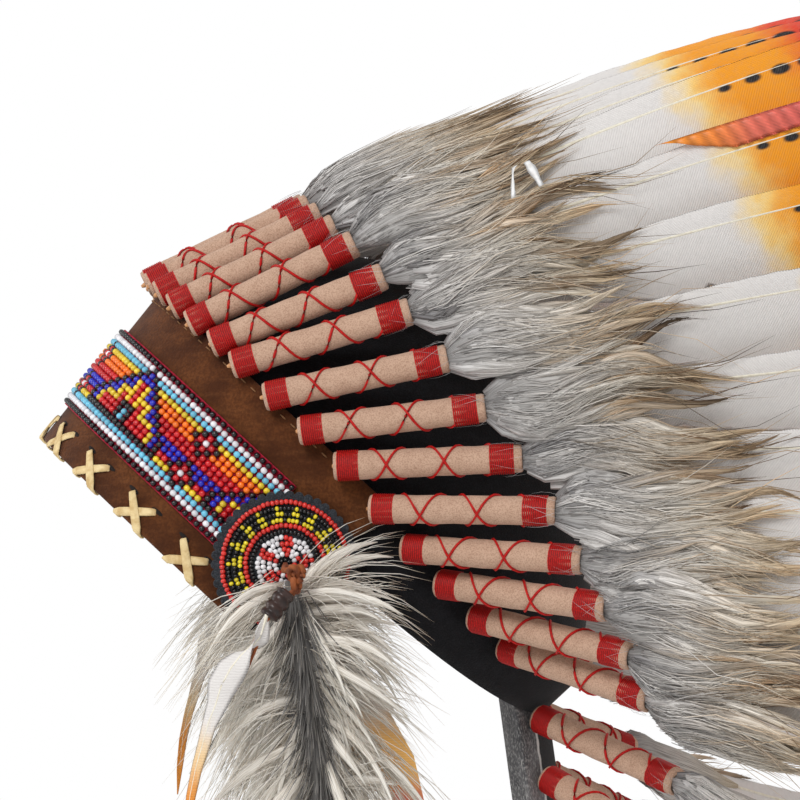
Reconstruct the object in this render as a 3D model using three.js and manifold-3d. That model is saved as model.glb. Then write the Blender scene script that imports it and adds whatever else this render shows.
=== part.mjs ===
// Feathered headdress in millimetres, +Z up: a felt cap with a suede brow band, a beaded strip,
// two beaded rosettes with hanging drops, and a row of wrapped feathers with fur at their feet.
// The origin is the centre of the head opening. The cap is pitched back by TILT, the drops hang
// straight down, and the left and right sides mirror each other across y = 0.

import * as THREE from 'three';
import { mergeVertices } from 'three/addons/utils/BufferGeometryUtils.js';
import Module from 'manifold-3d';

const wasm = await Module();
wasm.setup();

// The whole headdress
const TILT = 43; // degrees that the cap is pitched back
const CLEAR = 0.3; // gap between neighbouring pieces
const CURVED_CLEAR = 0.65; // the same between two curved walls, for the depth of their flat faces

// The oval of the head at the band's lower edge, from its centre to the suede's outer face
const OVAL_FRONT = 101;
const OVAL_REAR = 130;
const OVAL_HALF_WIDTH = 80;
const FLARE = 0.075; // how far the wall leans out for each millimetre of height

// Suede brow band, ending behind each rosette
const BAND_HEIGHT = 76;
const SUEDE = 2.2;
const BAND_PAST_ROSETTE_LOW = -4; // where its end lies behind the rosette's middle, at the foot
const BAND_PAST_ROSETTE_HIGH = 18; // and at the top

// Felt cap
const FELT = 2;
const CROWN = 84; // rise of the crown above the band
const RIM_SIDE = 42; // height of the cap's rim at the sides, under the band in front
const RIM_REAR = 62;
const FLAP_HALF_WIDTH = 34; // nape flap that hangs from the rim
const FLAP_LENGTH = 62;
const FLAP_DRIFT = 9; // how far its hem hangs behind its top
const FLAP_LAP = 3; // how far it runs up into the rim

// Beaded strip around the band
const STRIP_WIDTH = 39;
const STRIP_HEIGHT = 36.5; // of its middle line
const STRIP_THICKNESS = 2.3;
const STRIP_LAP = 12; // how far it runs under the rosette's backing

// Rosettes at the sides
const ROSETTE_HEIGHT = 30.5;
const ROSETTE_SET_BACK = 4.4; // of its middle behind the oval's widest place
const ROSETTE_RADIUS = 25.6;
const ROSETTE_EDGE = 1.8;
const ROSETTE_CROWN = 2; // how far the middle stands above the edge
const BACKING_RADIUS = 28.9;
const BACKING_THICKNESS = 1.8;
const BACKING_SCALLOPS = 18;
const SCALLOP_DEPTH = 0.9;

// Leather lacing around the band's lower edge
const LACE_WIDTH = 4;
const LACE_THICKNESS = 1;
const CROSS_PITCH = 0.2; // share of the way round to the rosette's middle
const CROSSES_EACH_SIDE = 4;
const CROSS_HALF_WIDTH = 7;
const CROSS_HEIGHT = 10.5;
const LACE_RUN_HEIGHT = 5; // of the run inside the band that joins the crosses
const LACE_RUN_THICKNESS = 1.5;

// Feathers: a felt wrap around the quill, a fur tuft at its outer end, and a long vane
const FEATHERS_EACH_SIDE = 16;
const NAPE_FEATHERS = 2; // the last ones of each side, on the nape flap
const NAPE_FIRST_DROP = 0.04; // share of the flap's length above the first one
const NAPE_PITCH = 25;
const NAPE_STANDOFF = 3.3; // from the flap to the middle of their feet
const NAPE_SPREAD = 0.74; // share of the flap's half width out to them
const WRAP_LENGTH = 75;
const WRAP_RADIUS = 5.7;
const WINDING_RELIEF = 0.45; // how far the thread windings stand above the wrap
const TUFT_LENGTH = 92;
const TUFT_DEPTH = 8; // half the tuft's depth
const TUFT_RISE = 5; // how far the tuft's middle lies outside the quill
const TUFT_SHARE = 0.43; // half the tuft's width as a share of the feathers' spacing
const TUFT_HALF_WIDTH_MOST = 13;
const VANE_LENGTH = 250; // beyond the wrap
const VANE_LEAD = 9; // width in front of the quill
const VANE_TRAIL = 29; // width behind the quill
const VANE_THICKNESS = 1.2;
const CENTRE_VANE_HALF_WIDTH = 9;
const BEND = 14; // degrees that a vane curves towards the inside, over its length
const ROW_SMOOTHING = 1; // neighbours on each side that a feather's turn is taken from
const LOUVRE = 26; // degrees that each vane is turned so that the next one laps over it

// Feather row: place counts from the centre feather, along is a share of the half oval's length,
// height is a share of the band's height, inset is how far the foot moves in from beside the
// band, towards the felt, lean is degrees above the band's plane, flare is degrees out to the side
const FEATHER_ROW = [
  { place: 0, along: 0, height: 1, inset: 0, lean: 69.5, flare: 0 },
  { place: 1, along: 0.049, height: 1, inset: 0, lean: 69.5, flare: 1 },
  { place: 4, along: 0.184, height: 0.985, inset: 0, lean: 69, flare: 5.5 },
  { place: 5, along: 0.23, height: 0.985, inset: 0, lean: 64.5, flare: 6.5 },
  { place: 6, along: 0.27, height: 0.976, inset: 0.1, lean: 59.8, flare: 7 },
  { place: 9, along: 0.441, height: 0.95, inset: 0.5, lean: 45.5, flare: 8 },
  { place: 10, along: 0.505, height: 0.916, inset: 0.9, lean: 42.7, flare: 15.5 },
  { place: 11, along: 0.568, height: 0.882, inset: 4.1, lean: 40, flare: 23 },
  { place: 12, along: 0.631, height: 0.875, inset: 5, lean: 36, flare: 31 },
  { place: 14, along: 0.761, height: 0.868, inset: 6.4, lean: 25, flare: 41 },
  { place: 16, along: 0.865, height: 0.79, inset: 6.4, lean: 14, flare: 41 },
];

// Wrap: share of its length, and 1 where the thread windings stand above it
const WRAP_SECTIONS = [
  { at: 0, wound: 1 },
  { at: 0.13, wound: 1 },
  { at: 0.15, wound: 0 },
  { at: 0.81, wound: 0 },
  { at: 0.83, wound: 1 },
  { at: 1, wound: 0.6 },
];

// Tuft: share of its length, and share of its full width and depth
const TUFT_SECTIONS = [
  { at: -0.03, width: 0.3, depth: 0.3, rise: 0 },
  { at: 0.12, width: 0.7, depth: 0.75, rise: 0.5 },
  { at: 0.38, width: 1, depth: 1, rise: 1 },
  { at: 0.68, width: 0.95, depth: 0.7, rise: 0.9 },
];
const TUFT_TIPS = [1, 0.9, 0.97]; // share of the tuft's length that each lock reaches

// Vane: share of its length, and shares of its two widths
const VANE_SECTIONS = [
  { at: -0.02, lead: 0.12, trail: 0.06 },
  { at: 0.18, lead: 0.45, trail: 0.45 },
  { at: 0.52, lead: 1, trail: 0.97 },
  { at: 0.88, lead: 0.8, trail: 0.7 },
];

// Drops: all of a drop's pieces hang in front of its rosette. Each route's rows say how far back
// from the rosette's middle, how far below it and how far out from its beads a section lies, as
// shares of the drop's length; width and depth are shares of the piece's, and turn is in degrees.
const DROP_LENGTH = 132;
const TIE_WIDTH = 4;
const TIE_THICKNESS = 1.6;
const TIE_ROUTE = [
  { back: 0, down: 0, out: 0.006 },
  { back: -0.008, down: 0.012, out: 0.068 },
  { back: -0.011, down: 0.065, out: 0.144 },
  { back: -0.017, down: 0.096, out: 0.174 },
];
const DROP_WRAP_RADIUS = 4.8;
const DROP_WRAP_ROUTE = [
  { back: -0.018, down: 0.103, out: 0.178 },
  { back: -0.053, down: 0.2, out: 0.182 },
];
const DROP_LACE_WIDTH = 2.6;
const DROP_LACE_THICKNESS = 1;
const DROP_LACE_ROUTES = [
  [
    { back: -0.058, down: 0.207, out: 0.17 },
    { back: -0.098, down: 0.32, out: 0.159 },
    { back: -0.152, down: 0.45, out: 0.156 },
  ],
  [
    { back: -0.058, down: 0.207, out: 0.17 },
    { back: -0.083, down: 0.32, out: 0.159 },
    { back: -0.114, down: 0.43, out: 0.156 },
  ],
];
const CURLED_FEATHER_ROUTE = [
  { back: -0.059, down: 0.208, out: 0.189, width: 0.25, turn: 66 },
  { back: -0.076, down: 0.29, out: 0.205, width: 0.9, turn: 68 },
  { back: -0.144, down: 0.43, out: 0.22, width: 1, turn: 62 },
  { back: -0.212, down: 0.55, out: 0.227, width: 0.8, turn: 68 },
  { back: -0.258, down: 0.7, out: 0.227, width: 0.55, turn: 70 },
  { back: -0.295, down: 0.9, out: 0.22, width: 0.2, turn: 70 },
];
const CURLED_FEATHER_HALF_WIDTH = 6;
const FLAT_FEATHER_ROUTE = [
  { back: 0.03, down: 0.06, out: 0.003, width: 0.15, turn: 0 },
  { back: 0.091, down: 0.22, out: 0.008, width: 0.6, turn: 0 },
  { back: 0.197, down: 0.42, out: 0, width: 1, turn: 0 },
  { back: 0.318, down: 0.62, out: -0.015, width: 0.9, turn: 0 },
  { back: 0.417, down: 0.78, out: -0.023, width: 0.2, turn: 0 },
];
const FLAT_FEATHER_HALF_WIDTH = 12;
const TAIL_HALF_WIDTH = 21;
const TAIL_HALF_DEPTH = 12;
const TAIL_FORK = 0.055; // how far each of its two points lies to the side
const TAIL_ROUTE = [
  { back: 0.038, down: 0.045, out: 0.025, width: 0.16, depth: 0.25 },
  { back: 0.045, down: 0.12, out: 0.068, width: 0.45, depth: 0.55 },
  { back: 0.038, down: 0.25, out: 0.083, width: 0.8, depth: 0.7 },
  { back: 0.023, down: 0.45, out: 0.091, width: 1, depth: 0.75 },
  { back: 0.023, down: 0.7, out: 0.106, width: 0.95, depth: 0.9 },
  { back: 0.008, down: 0.88, out: 0.114, width: 0.6, depth: 0.7 },
];

const LEFT = 1;
const RIGHT = -1;
const tilt = THREE.MathUtils.degToRad(TILT);

// Basic solids

// A closed mesh from points and faces, with its faces turned outwards
function solidFrom(points, faces) {
  const geometry = new THREE.BufferGeometry();
  const places = points.flatMap((point) => point.toArray());
  geometry.setAttribute('position', new THREE.Float32BufferAttribute(places, 3));
  geometry.setIndex(faces.flat());
  return signedVolume(geometry) < 0 ? turnedOut(geometry) : geometry;
}

function signedVolume(geometry) {
  const { position } = geometry.attributes;
  const index = geometry.index.array;
  const corners = [new THREE.Vector3(), new THREE.Vector3(), new THREE.Vector3()];
  let sum = 0;
  for (let i = 0; i < index.length; i += 3) {
    corners.forEach((corner, k) => corner.fromBufferAttribute(position, index[i + k]));
    sum += corners[0].dot(corners[1].cross(corners[2]));
  }
  return sum;
}

function turnedOut(geometry) {
  const index = geometry.index.array;
  for (let i = 0; i < index.length; i += 3) {
    [index[i + 1], index[i + 2]] = [index[i + 2], index[i + 1]];
  }
  return geometry;
}

// The same solid on the other side of y = 0
function mirrored(geometry) {
  const copy = geometry.clone();
  copy.scale(1, -1, 1);
  return turnedOut(copy);
}

// Faces between two rings of count points whose first points are a and b
function bridge(faces, a, b, count) {
  for (let i = 0; i < count; i += 1) {
    const j = (i + 1) % count;
    faces.push([a + i, a + j, b + j], [a + i, b + j, b + i]);
  }
}

// A solid through equal rings. Each end is closed by a fan, or drawn out to the points given.
function loft(rings, tips = []) {
  const count = rings[0].length;
  const points = rings.flat();
  const faces = [];
  for (let i = 1; i < rings.length; i += 1) {
    bridge(faces, (i - 1) * count, i * count, count);
  }
  for (let i = 1; i < count - 1; i += 1) {
    faces.push([0, i + 1, i]);
  }
  const last = (rings.length - 1) * count;
  if (tips.length === 0) {
    for (let i = 1; i < count - 1; i += 1) {
      faces.push([last, last + i, last + i + 1]);
    }
  } else {
    closeWithTips(points, faces, last, count, tips);
  }
  return solidFrom(points, faces);
}

// Ends a loft in one point, or in several locks that part at the middle of its last ring
function closeWithTips(points, faces, last, count, tips) {
  const ring = points.slice(last, last + count);
  const span = count / tips.length;
  const middle = points.length;
  if (tips.length > 1) {
    points.push(ring.reduce((sum, p) => sum.add(p), new THREE.Vector3()).divideScalar(count));
  }
  tips.forEach((tip, n) => {
    const point = points.length;
    points.push(tip);
    const start = n * span;
    const steps = tips.length > 1 ? span - 1 : span;
    for (let i = 0; i < steps; i += 1) {
      faces.push([last + start + i, last + ((start + i + 1) % count), point]);
    }
    if (tips.length > 1) {
      faces.push([last + start + steps, middle, point], [middle, last + start, point]);
      faces.push([last + start + steps, last + ((start + span) % count), middle]);
    }
  });
}

// A thin shell between outer and inner rings that share one open rim and close at the top
function domedShell(outerRings, outerTop, innerRings, innerTop) {
  const count = outerRings[0].length;
  const points = [...outerRings.flat(), ...innerRings.flat(), outerTop, innerTop];
  const faces = [];
  const inner = outerRings.length * count;
  const top = inner + innerRings.length * count;
  for (let i = 1; i < outerRings.length; i += 1) {
    bridge(faces, (i - 1) * count, i * count, count);
    bridge(faces, inner + i * count, inner + (i - 1) * count, count);
  }
  bridge(faces, inner, 0, count);
  for (let i = 0; i < count; i += 1) {
    const j = (i + 1) % count;
    faces.push([inner - count + i, inner - count + j, top]);
    faces.push([top - count + j, top - count + i, top + 1]);
  }
  return solidFrom(points, faces);
}

function toManifold(geometry) {
  const bare = geometry.clone();
  bare.deleteAttribute('normal');
  bare.deleteAttribute('uv');
  const merged = mergeVertices(bare, 1e-4);
  const triVerts = new Uint32Array(merged.index.array);
  const vertProperties = new Float32Array(merged.attributes.position.array);
  return new wasm.Manifold(new wasm.Mesh({ numProp: 3, vertProperties, triVerts }));
}

// One solid from several that run into each other
function joined(geometries) {
  const [first, ...others] = geometries.map(toManifold);
  const whole = others.reduce((sum, next) => sum.add(next), first).getMesh();
  const geometry = new THREE.BufferGeometry();
  geometry.setAttribute('position', new THREE.Float32BufferAttribute(whole.vertProperties, 3));
  geometry.setIndex(Array.from(whole.triVerts));
  return geometry;
}

// The oval

// A point of the wall: turn runs from 0 at the brow to pi at the nape down the left side, and
// offset is how far it lies outside the suede
function ovalPoint(turn, offset, height) {
  const grow = offset + FLARE * height;
  const reach = (Math.cos(turn) > 0 ? OVAL_FRONT : OVAL_REAR) + grow;
  return new THREE.Vector3(
    -reach * Math.cos(turn),
    -(OVAL_HALF_WIDTH + grow) * Math.sin(turn),
    height,
  );
}

const OVAL_STEPS = 720;

// Lengths along half the oval, from the brow to the nape
function halfOval(offset, height) {
  const lengths = [0];
  for (let i = 1; i <= OVAL_STEPS; i += 1) {
    const here = ovalPoint((Math.PI * i) / OVAL_STEPS, offset, height);
    const before = ovalPoint((Math.PI * (i - 1)) / OVAL_STEPS, offset, height);
    lengths.push(lengths[i - 1] + here.distanceTo(before));
  }
  return lengths;
}

function turnAt(lengths, along) {
  const wanted = Math.abs(along);
  const i = Math.max(1, lengths.findIndex((length) => length >= wanted));
  const part = (wanted - lengths[i - 1]) / (lengths[i] - lengths[i - 1]);
  return (Math.sign(along) * Math.PI * (i - 1 + part)) / OVAL_STEPS;
}

const bandLengths = halfOval(0, 0);
const rosetteAlong = bandLengths[OVAL_STEPS / 2] + ROSETTE_SET_BACK;

// A point on the band, so far along it from the brow, positive down the left side
function onBand(along, offset, height) {
  return ovalPoint(turnAt(bandLengths, along), offset, height);
}

// Points of the cap's frame and of the upright frame
function toUpright(point) {
  return point.clone().applyAxisAngle(new THREE.Vector3(0, 1, 0), tilt);
}

function toCap(point) {
  return point.clone().applyAxisAngle(new THREE.Vector3(0, 1, 0), -tilt);
}

// Cap

const capOffset = -SUEDE - CURVED_CLEAR;

function rimHeight(turn) {
  const behind = Math.max(0, -Math.asin(Math.cos(turn)) / (Math.PI / 2));
  return RIM_SIDE + (RIM_REAR - RIM_SIDE) * behind ** 2;
}

function feltCap() {
  const sides = 24;
  const wallShares = [0, 0.5, 1];
  const crownShares = [0.88, 0.7, 0.46, 0.22];
  const turns = Array.from({ length: sides }, (_, i) => (2 * Math.PI * i) / sides - Math.PI);
  const ring = (pointAt) => turns.map(pointAt);
  const surface = (inset) => [
    ...wallShares.map((share) => ring((turn) => {
      const rim = rimHeight(turn);
      return ovalPoint(turn, capOffset - inset, rim + (BAND_HEIGHT - rim) * share);
    })),
    ...crownShares.map((share) => ring((turn) => {
      const base = ovalPoint(turn, capOffset - inset, BAND_HEIGHT);
      const height = BAND_HEIGHT + (CROWN - inset) * (1 - share ** 2);
      return new THREE.Vector3(base.x * share, base.y * share, height);
    })),
  ];
  const top = (inset) => new THREE.Vector3(0, 0, BAND_HEIGHT + CROWN - inset);
  return domedShell(surface(0), top(0), surface(FELT), top(FELT));
}

// Where a point of the flap hangs in the upright frame: side runs from -1 at its left edge to 1,
// down from 0 at the rim to 1 at the hem
function flapPoint(side, down, inset = 0) {
  const turn = Math.PI - Math.asin((-side * FLAP_HALF_WIDTH) / OVAL_HALF_WIDTH);
  const rim = toUpright(ovalPoint(turn, capOffset - FELT / 4, rimHeight(turn)));
  const hem = toUpright(ovalPoint(Math.PI, capOffset, RIM_REAR)).z - FLAP_LENGTH;
  return new THREE.Vector3(
    rim.x + FLAP_DRIFT * down - inset,
    side * FLAP_HALF_WIDTH,
    rim.z + (hem - rim.z) * down,
  );
}

function napeFlap() {
  const columns = [-1, -0.6, -0.2, 0.2, 0.6, 1];
  const wall = FELT * 0.75;
  const rows = [0, 0.3, 0.65, 1].map((down) => [
    ...columns.map((side) => flapPoint(side, down)),
    ...columns.toReversed().map((side) => flapPoint(side, down, wall)),
  ]);
  const lap = toUpright(new THREE.Vector3(0, 0, FLAP_LAP));
  const top = rows[0].map((point) => point.clone().add(lap));
  const geometry = loft([top, ...rows]);
  return geometry.applyMatrix4(new THREE.Matrix4().makeRotationY(-tilt));
}

// Band, strip and lacing

function browBand() {
  const stations = 40;
  const low = rosetteAlong + BAND_PAST_ROSETTE_LOW;
  const high = rosetteAlong + BAND_PAST_ROSETTE_HIGH;
  const heights = [0, BAND_HEIGHT / 2, BAND_HEIGHT];
  const section = (share) => {
    const point = (height, offset) => {
      const reach = low + ((high - low) * height) / BAND_HEIGHT;
      return onBand(share * reach, offset, height);
    };
    return [
      ...heights.map((height) => point(height, 0)),
      ...heights.toReversed().map((height) => point(height, -SUEDE)),
    ];
  };
  return loft(Array.from({ length: stations + 1 }, (_, i) => section((2 * i) / stations - 1)));
}

function beadStrip() {
  const stations = 32;
  const low = STRIP_HEIGHT - STRIP_WIDTH / 2;
  const high = STRIP_HEIGHT + STRIP_WIDTH / 2;
  const section = (along) => [
    onBand(along, CURVED_CLEAR, low),
    onBand(along, CURVED_CLEAR, high),
    onBand(along, CURVED_CLEAR + STRIP_THICKNESS, high),
    onBand(along, CURVED_CLEAR + STRIP_THICKNESS, low),
  ];
  return loft(Array.from({ length: stations + 1 }, (_, i) => section(((2 * i) / stations - 1) * stripReach)));
}

// A flat strap through rows of along, height and offset on the band; face is the way out of the
// strap's outer side in each row, as steps out and up
function bandStrap(rows, width) {
  const half = width / 2;
  const skin = LACE_THICKNESS / 2;
  return loft(rows.map(({ along, height, offset, face }) => {
    const corner = (side, layer) => onBand(
      along + side * half,
      offset + layer * skin * face[0],
      height + layer * skin * face[1],
    );
    return [corner(-1, -1), corner(1, -1), corner(1, 1), corner(-1, 1)];
  }));
}

function laceCross(middle) {
  const inside = -SUEDE - CURVED_CLEAR - LACE_THICKNESS / 2;
  const below = -CLEAR - LACE_THICKNESS / 2;
  const strap = (lean, lift) => {
    const outside = CURVED_CLEAR + LACE_THICKNESS / 2 + lift;
    const foot = middle - lean * CROSS_HALF_WIDTH;
    const head = middle + lean * CROSS_HALF_WIDTH;
    return bandStrap([
      { along: foot, height: LACE_RUN_HEIGHT, offset: inside, face: [-1, 0] },
      { along: foot, height: below, offset: inside, face: [-1, -1] },
      { along: foot, height: below, offset: outside, face: [1, -1] },
      { along: head, height: CROSS_HEIGHT, offset: outside, face: [1, 0] },
    ], LACE_WIDTH);
  };
  return [strap(1, 0), strap(-1, LACE_THICKNESS / 2)];
}

// The run inside the band, from the first cross to the last
function laceRun() {
  const reach = crossPitch * CROSSES_EACH_SIDE + CROSS_HALF_WIDTH;
  const stations = 14;
  const half = LACE_WIDTH / 2;
  return loft(Array.from({ length: stations + 1 }, (_, i) => {
    const along = reach * ((2 * i) / stations - 1);
    const corner = (side, layer) => onBand(
      along,
      -SUEDE - CURVED_CLEAR - (layer > 0 ? 0 : LACE_RUN_THICKNESS),
      LACE_RUN_HEIGHT + side * half,
    );
    return [corner(-1, -1), corner(1, -1), corner(1, 1), corner(-1, 1)];
  }));
}

const crossPitch = CROSS_PITCH * rosetteAlong;

function edgeLacing() {
  const pieces = [laceRun()];
  for (let i = -CROSSES_EACH_SIDE; i <= CROSSES_EACH_SIDE; i += 1) {
    pieces.push(...laceCross(i * crossPitch));
  }
  return joined(pieces);
}

// Rosettes

const stripReach = rosetteAlong - BACKING_RADIUS + STRIP_LAP;
const stripEnd = onBand(stripReach, CURVED_CLEAR + STRIP_THICKNESS, ROSETTE_HEIGHT);
const backingSeat = -stripEnd.y + CLEAR;

// A built-in shape that faces up, set on the band's side. Without its normals and texture places
// its corners can be merged.
function placeOnRosette(geometry, lift) {
  geometry.rotateX(Math.PI / 2 + Math.atan(FLARE));
  geometry.translate(ROSETTE_SET_BACK, -backingSeat - lift, ROSETTE_HEIGHT);
  geometry.deleteAttribute('normal');
  geometry.deleteAttribute('uv');
  return mergeVertices(geometry);
}

function rosetteBacking() {
  const outline = new THREE.Shape(Array.from({ length: 2 * BACKING_SCALLOPS }, (_, i) => {
    const radius = BACKING_RADIUS - (i % 2) * SCALLOP_DEPTH;
    const turn = (Math.PI * i) / BACKING_SCALLOPS;
    return new THREE.Vector2(radius * Math.cos(turn), radius * Math.sin(turn));
  }));
  const disc = new THREE.ExtrudeGeometry(outline, { depth: BACKING_THICKNESS, bevelEnabled: false });
  return placeOnRosette(disc, 0);
}

function rosetteBeads() {
  const rise = ROSETTE_EDGE + ROSETTE_CROWN;
  const profile = [
    new THREE.Vector2(0, 0),
    new THREE.Vector2(ROSETTE_RADIUS, 0),
    new THREE.Vector2(ROSETTE_RADIUS, ROSETTE_EDGE),
    new THREE.Vector2(ROSETTE_RADIUS * 0.6, ROSETTE_EDGE + ROSETTE_CROWN * 0.64),
    new THREE.Vector2(0, rise),
  ];
  const dome = new THREE.LatheGeometry(profile, 24);
  dome.rotateX(Math.PI / 2);
  return placeOnRosette(dome, BACKING_THICKNESS + CLEAR);
}

// Feathers

function rowAt(place) {
  const next = FEATHER_ROW.find((row) => row.place >= place);
  const last = FEATHER_ROW.findLast((row) => row.place <= place);
  const part = next.place === last.place ? 0 : (place - last.place) / (next.place - last.place);
  const between = (name) => last[name] + (next[name] - last[name]) * part;
  return {
    along: between('along'),
    height: between('height'),
    inset: between('inset'),
    lean: between('lean'),
    flare: between('flare'),
  };
}

const footOffset = WRAP_RADIUS + WINDING_RELIEF + CURVED_CLEAR;
const footLengths = halfOval(footOffset, BAND_HEIGHT);

// The foot of a feather in the cap's frame: beside the oval, or on the nape flap
function featherFoot(place) {
  const nape = place - (FEATHERS_EACH_SIDE - NAPE_FEATHERS);
  if (nape > 0) {
    const down = NAPE_FIRST_DROP + ((nape - 1) * NAPE_PITCH) / FLAP_LENGTH;
    const seat = flapPoint(-NAPE_SPREAD, down);
    const edge = flapPoint(-1, down).sub(seat);
    const out = new THREE.Vector3(-edge.y, edge.x, 0).normalize();
    return toCap(seat.addScaledVector(out, NAPE_STANDOFF));
  }
  const { along, height, inset } = rowAt(place);
  const turn = turnAt(footLengths, along * footLengths.at(-1));
  return ovalPoint(turn, footOffset - inset, height * BAND_HEIGHT);
}

function featherDirection(place) {
  const { lean, flare } = rowAt(place);
  const up = THREE.MathUtils.degToRad(lean);
  const side = THREE.MathUtils.degToRad(flare);
  return new THREE.Vector3(
    Math.cos(up) * Math.cos(side),
    -Math.sin(side),
    Math.sin(up) * Math.cos(side),
  );
}

// A point of a straight quill, so far from its foot; the one before the centre feather is the
// mirror image of the one after it
function quillPoint(place, distance) {
  const point = featherFoot(Math.abs(place)).addScaledVector(featherDirection(Math.abs(place)), distance);
  return place < 0 ? point.multiply(new THREE.Vector3(1, -1, 1)) : point;
}

// Axes at a point of the quill: along it, back down the row, and out from the cap, with the
// distance from one feather to the next
function featherAxes(place, distance) {
  const along = featherDirection(place);
  const before = place - ROW_SMOOTHING;
  const after = Math.min(place + ROW_SMOOTHING, FEATHERS_EACH_SIDE);
  const step = quillPoint(after, distance).sub(quillPoint(before, distance));
  const back = step.clone().addScaledVector(along, -step.dot(along));
  const spacing = back.length() / (after - before);
  back.normalize();
  return { along, back, out: back.clone().cross(along), spacing };
}

// A point of the bent feather: across is back along the row, rise is out from the cap, and turn
// tips both about the quill
function featherPoint(place, distance, across, rise, turn) {
  const { back, out } = featherAxes(place, distance);
  const beyond = Math.max(0, distance - WRAP_LENGTH);
  const sag = (THREE.MathUtils.degToRad(BEND) * beyond ** 2) / (2 * VANE_LENGTH);
  const tip = THREE.MathUtils.degToRad(turn);
  return quillPoint(place, distance)
    .addScaledVector(featherAxes(place, WRAP_LENGTH).out, -sag)
    .addScaledVector(back, across * Math.cos(tip) + rise * Math.sin(tip))
    .addScaledVector(out, rise * Math.cos(tip) - across * Math.sin(tip));
}

function featherWrap(place) {
  const sides = 7;
  return loft(WRAP_SECTIONS.map(({ at, wound }) => {
    const size = WRAP_RADIUS + WINDING_RELIEF * wound;
    return Array.from({ length: sides }, (_, i) => {
      const turn = (2 * Math.PI * i) / sides;
      return featherPoint(place, at * WRAP_LENGTH, size * Math.cos(turn), size * Math.sin(turn), 0);
    });
  }));
}

function featherTuft(place) {
  const sides = 6;
  const halfWidth = (distance) => Math.min(
    TUFT_HALF_WIDTH_MOST,
    TUFT_SHARE * featherAxes(place, distance).spacing,
  );
  const rings = TUFT_SECTIONS.map(({ at, width, depth, rise }) => {
    const distance = WRAP_LENGTH + at * TUFT_LENGTH;
    return Array.from({ length: sides }, (_, i) => {
      const turn = (2 * Math.PI * (i + 0.5)) / sides;
      return featherPoint(
        place,
        distance,
        width * halfWidth(distance) * Math.cos(turn),
        rise * TUFT_RISE + depth * TUFT_DEPTH * Math.sin(turn),
        0,
      );
    });
  });
  const tips = TUFT_TIPS.map((reach, i) => {
    const turn = (2 * Math.PI * (i + 0.5)) / TUFT_TIPS.length;
    const distance = WRAP_LENGTH + reach * TUFT_LENGTH;
    const half = 0.6 * halfWidth(distance);
    const rise = TUFT_RISE + TUFT_DEPTH * 0.4 * Math.sin(turn);
    return featherPoint(place, distance, half * Math.cos(turn), rise, 0);
  });
  return loft(rings, tips);
}

function featherVane(place) {
  const centre = place === 0;
  const lead = centre ? CENTRE_VANE_HALF_WIDTH : VANE_LEAD;
  const trail = centre ? CENTRE_VANE_HALF_WIDTH : VANE_TRAIL;
  const turn = centre ? 0 : LOUVRE;
  const rings = VANE_SECTIONS.map((row) => {
    const distance = WRAP_LENGTH + row.at * VANE_LENGTH;
    return [
      featherPoint(place, distance, -lead * row.lead, 0, turn),
      featherPoint(place, distance, 0, VANE_THICKNESS / 2, turn),
      featherPoint(place, distance, trail * row.trail, 0, turn),
      featherPoint(place, distance, 0, -VANE_THICKNESS / 2, turn),
    ];
  });
  return loft(rings, [featherPoint(place, WRAP_LENGTH + VANE_LENGTH, trail * 0.1, 0, turn)]);
}

function feather(place) {
  return joined([featherWrap(place), featherTuft(place), featherVane(place)]);
}

// Drops, worked out on the left side in the upright frame

const rosetteMiddle = toUpright(new THREE.Vector3(ROSETTE_SET_BACK, 0, ROSETTE_HEIGHT));
const rosetteFront = backingSeat + BACKING_THICKNESS + CLEAR + ROSETTE_EDGE + ROSETTE_CROWN;

function dropPoint({ back, down, out }) {
  return new THREE.Vector3(
    rosetteMiddle.x + back * DROP_LENGTH,
    -rosetteFront - out * DROP_LENGTH,
    rosetteMiddle.z - down * DROP_LENGTH,
  );
}

// A route's rows as points, each with the way that the route runs there
function routeSteps(route) {
  const points = route.map(dropPoint);
  return points.map((point, i) => {
    const ahead = points[Math.min(i + 1, points.length - 1)];
    const behind = points[Math.max(i - 1, 0)];
    return { point, way: ahead.clone().sub(behind).normalize(), row: route[i] };
  });
}

// A flat section about a route's point, its broad side turned from facing out by turn degrees
function flatSection({ point, way }, halfWidth, halfThickness, turn, corners) {
  const out = new THREE.Vector3(0, -1, 0);
  const across = way.clone().cross(out).normalize();
  across.applyAxisAngle(way, THREE.MathUtils.degToRad(turn));
  const face = across.clone().cross(way).normalize();
  return corners.map(([a, b]) => point.clone()
    .addScaledVector(across, a * halfWidth)
    .addScaledVector(face, b * halfThickness));
}

const STRAP_CORNERS = [[-1, -1], [1, -1], [1, 1], [-1, 1]];
const VANE_CORNERS = [[-1, 0], [0, -1], [1, 0], [0, 1]];

function strapAlong(route, width, thickness) {
  const section = (step) => flatSection(step, width / 2, thickness / 2, 0, STRAP_CORNERS);
  return loft(routeSteps(route).map(section));
}

function vaneAlong(route, halfWidth) {
  return loft(routeSteps(route).map((step) => flatSection(
    step,
    halfWidth * step.row.width,
    VANE_THICKNESS / 2,
    step.row.turn,
    VANE_CORNERS,
  )));
}

function dropWrap() {
  const sides = 10;
  const circle = Array.from({ length: sides }, (_, i) => {
    const turn = (2 * Math.PI * i) / sides;
    return [Math.cos(turn), Math.sin(turn)];
  });
  const steps = routeSteps(DROP_WRAP_ROUTE);
  return loft(steps.map((step) => flatSection(step, DROP_WRAP_RADIUS, DROP_WRAP_RADIUS, 0, circle)));
}

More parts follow.
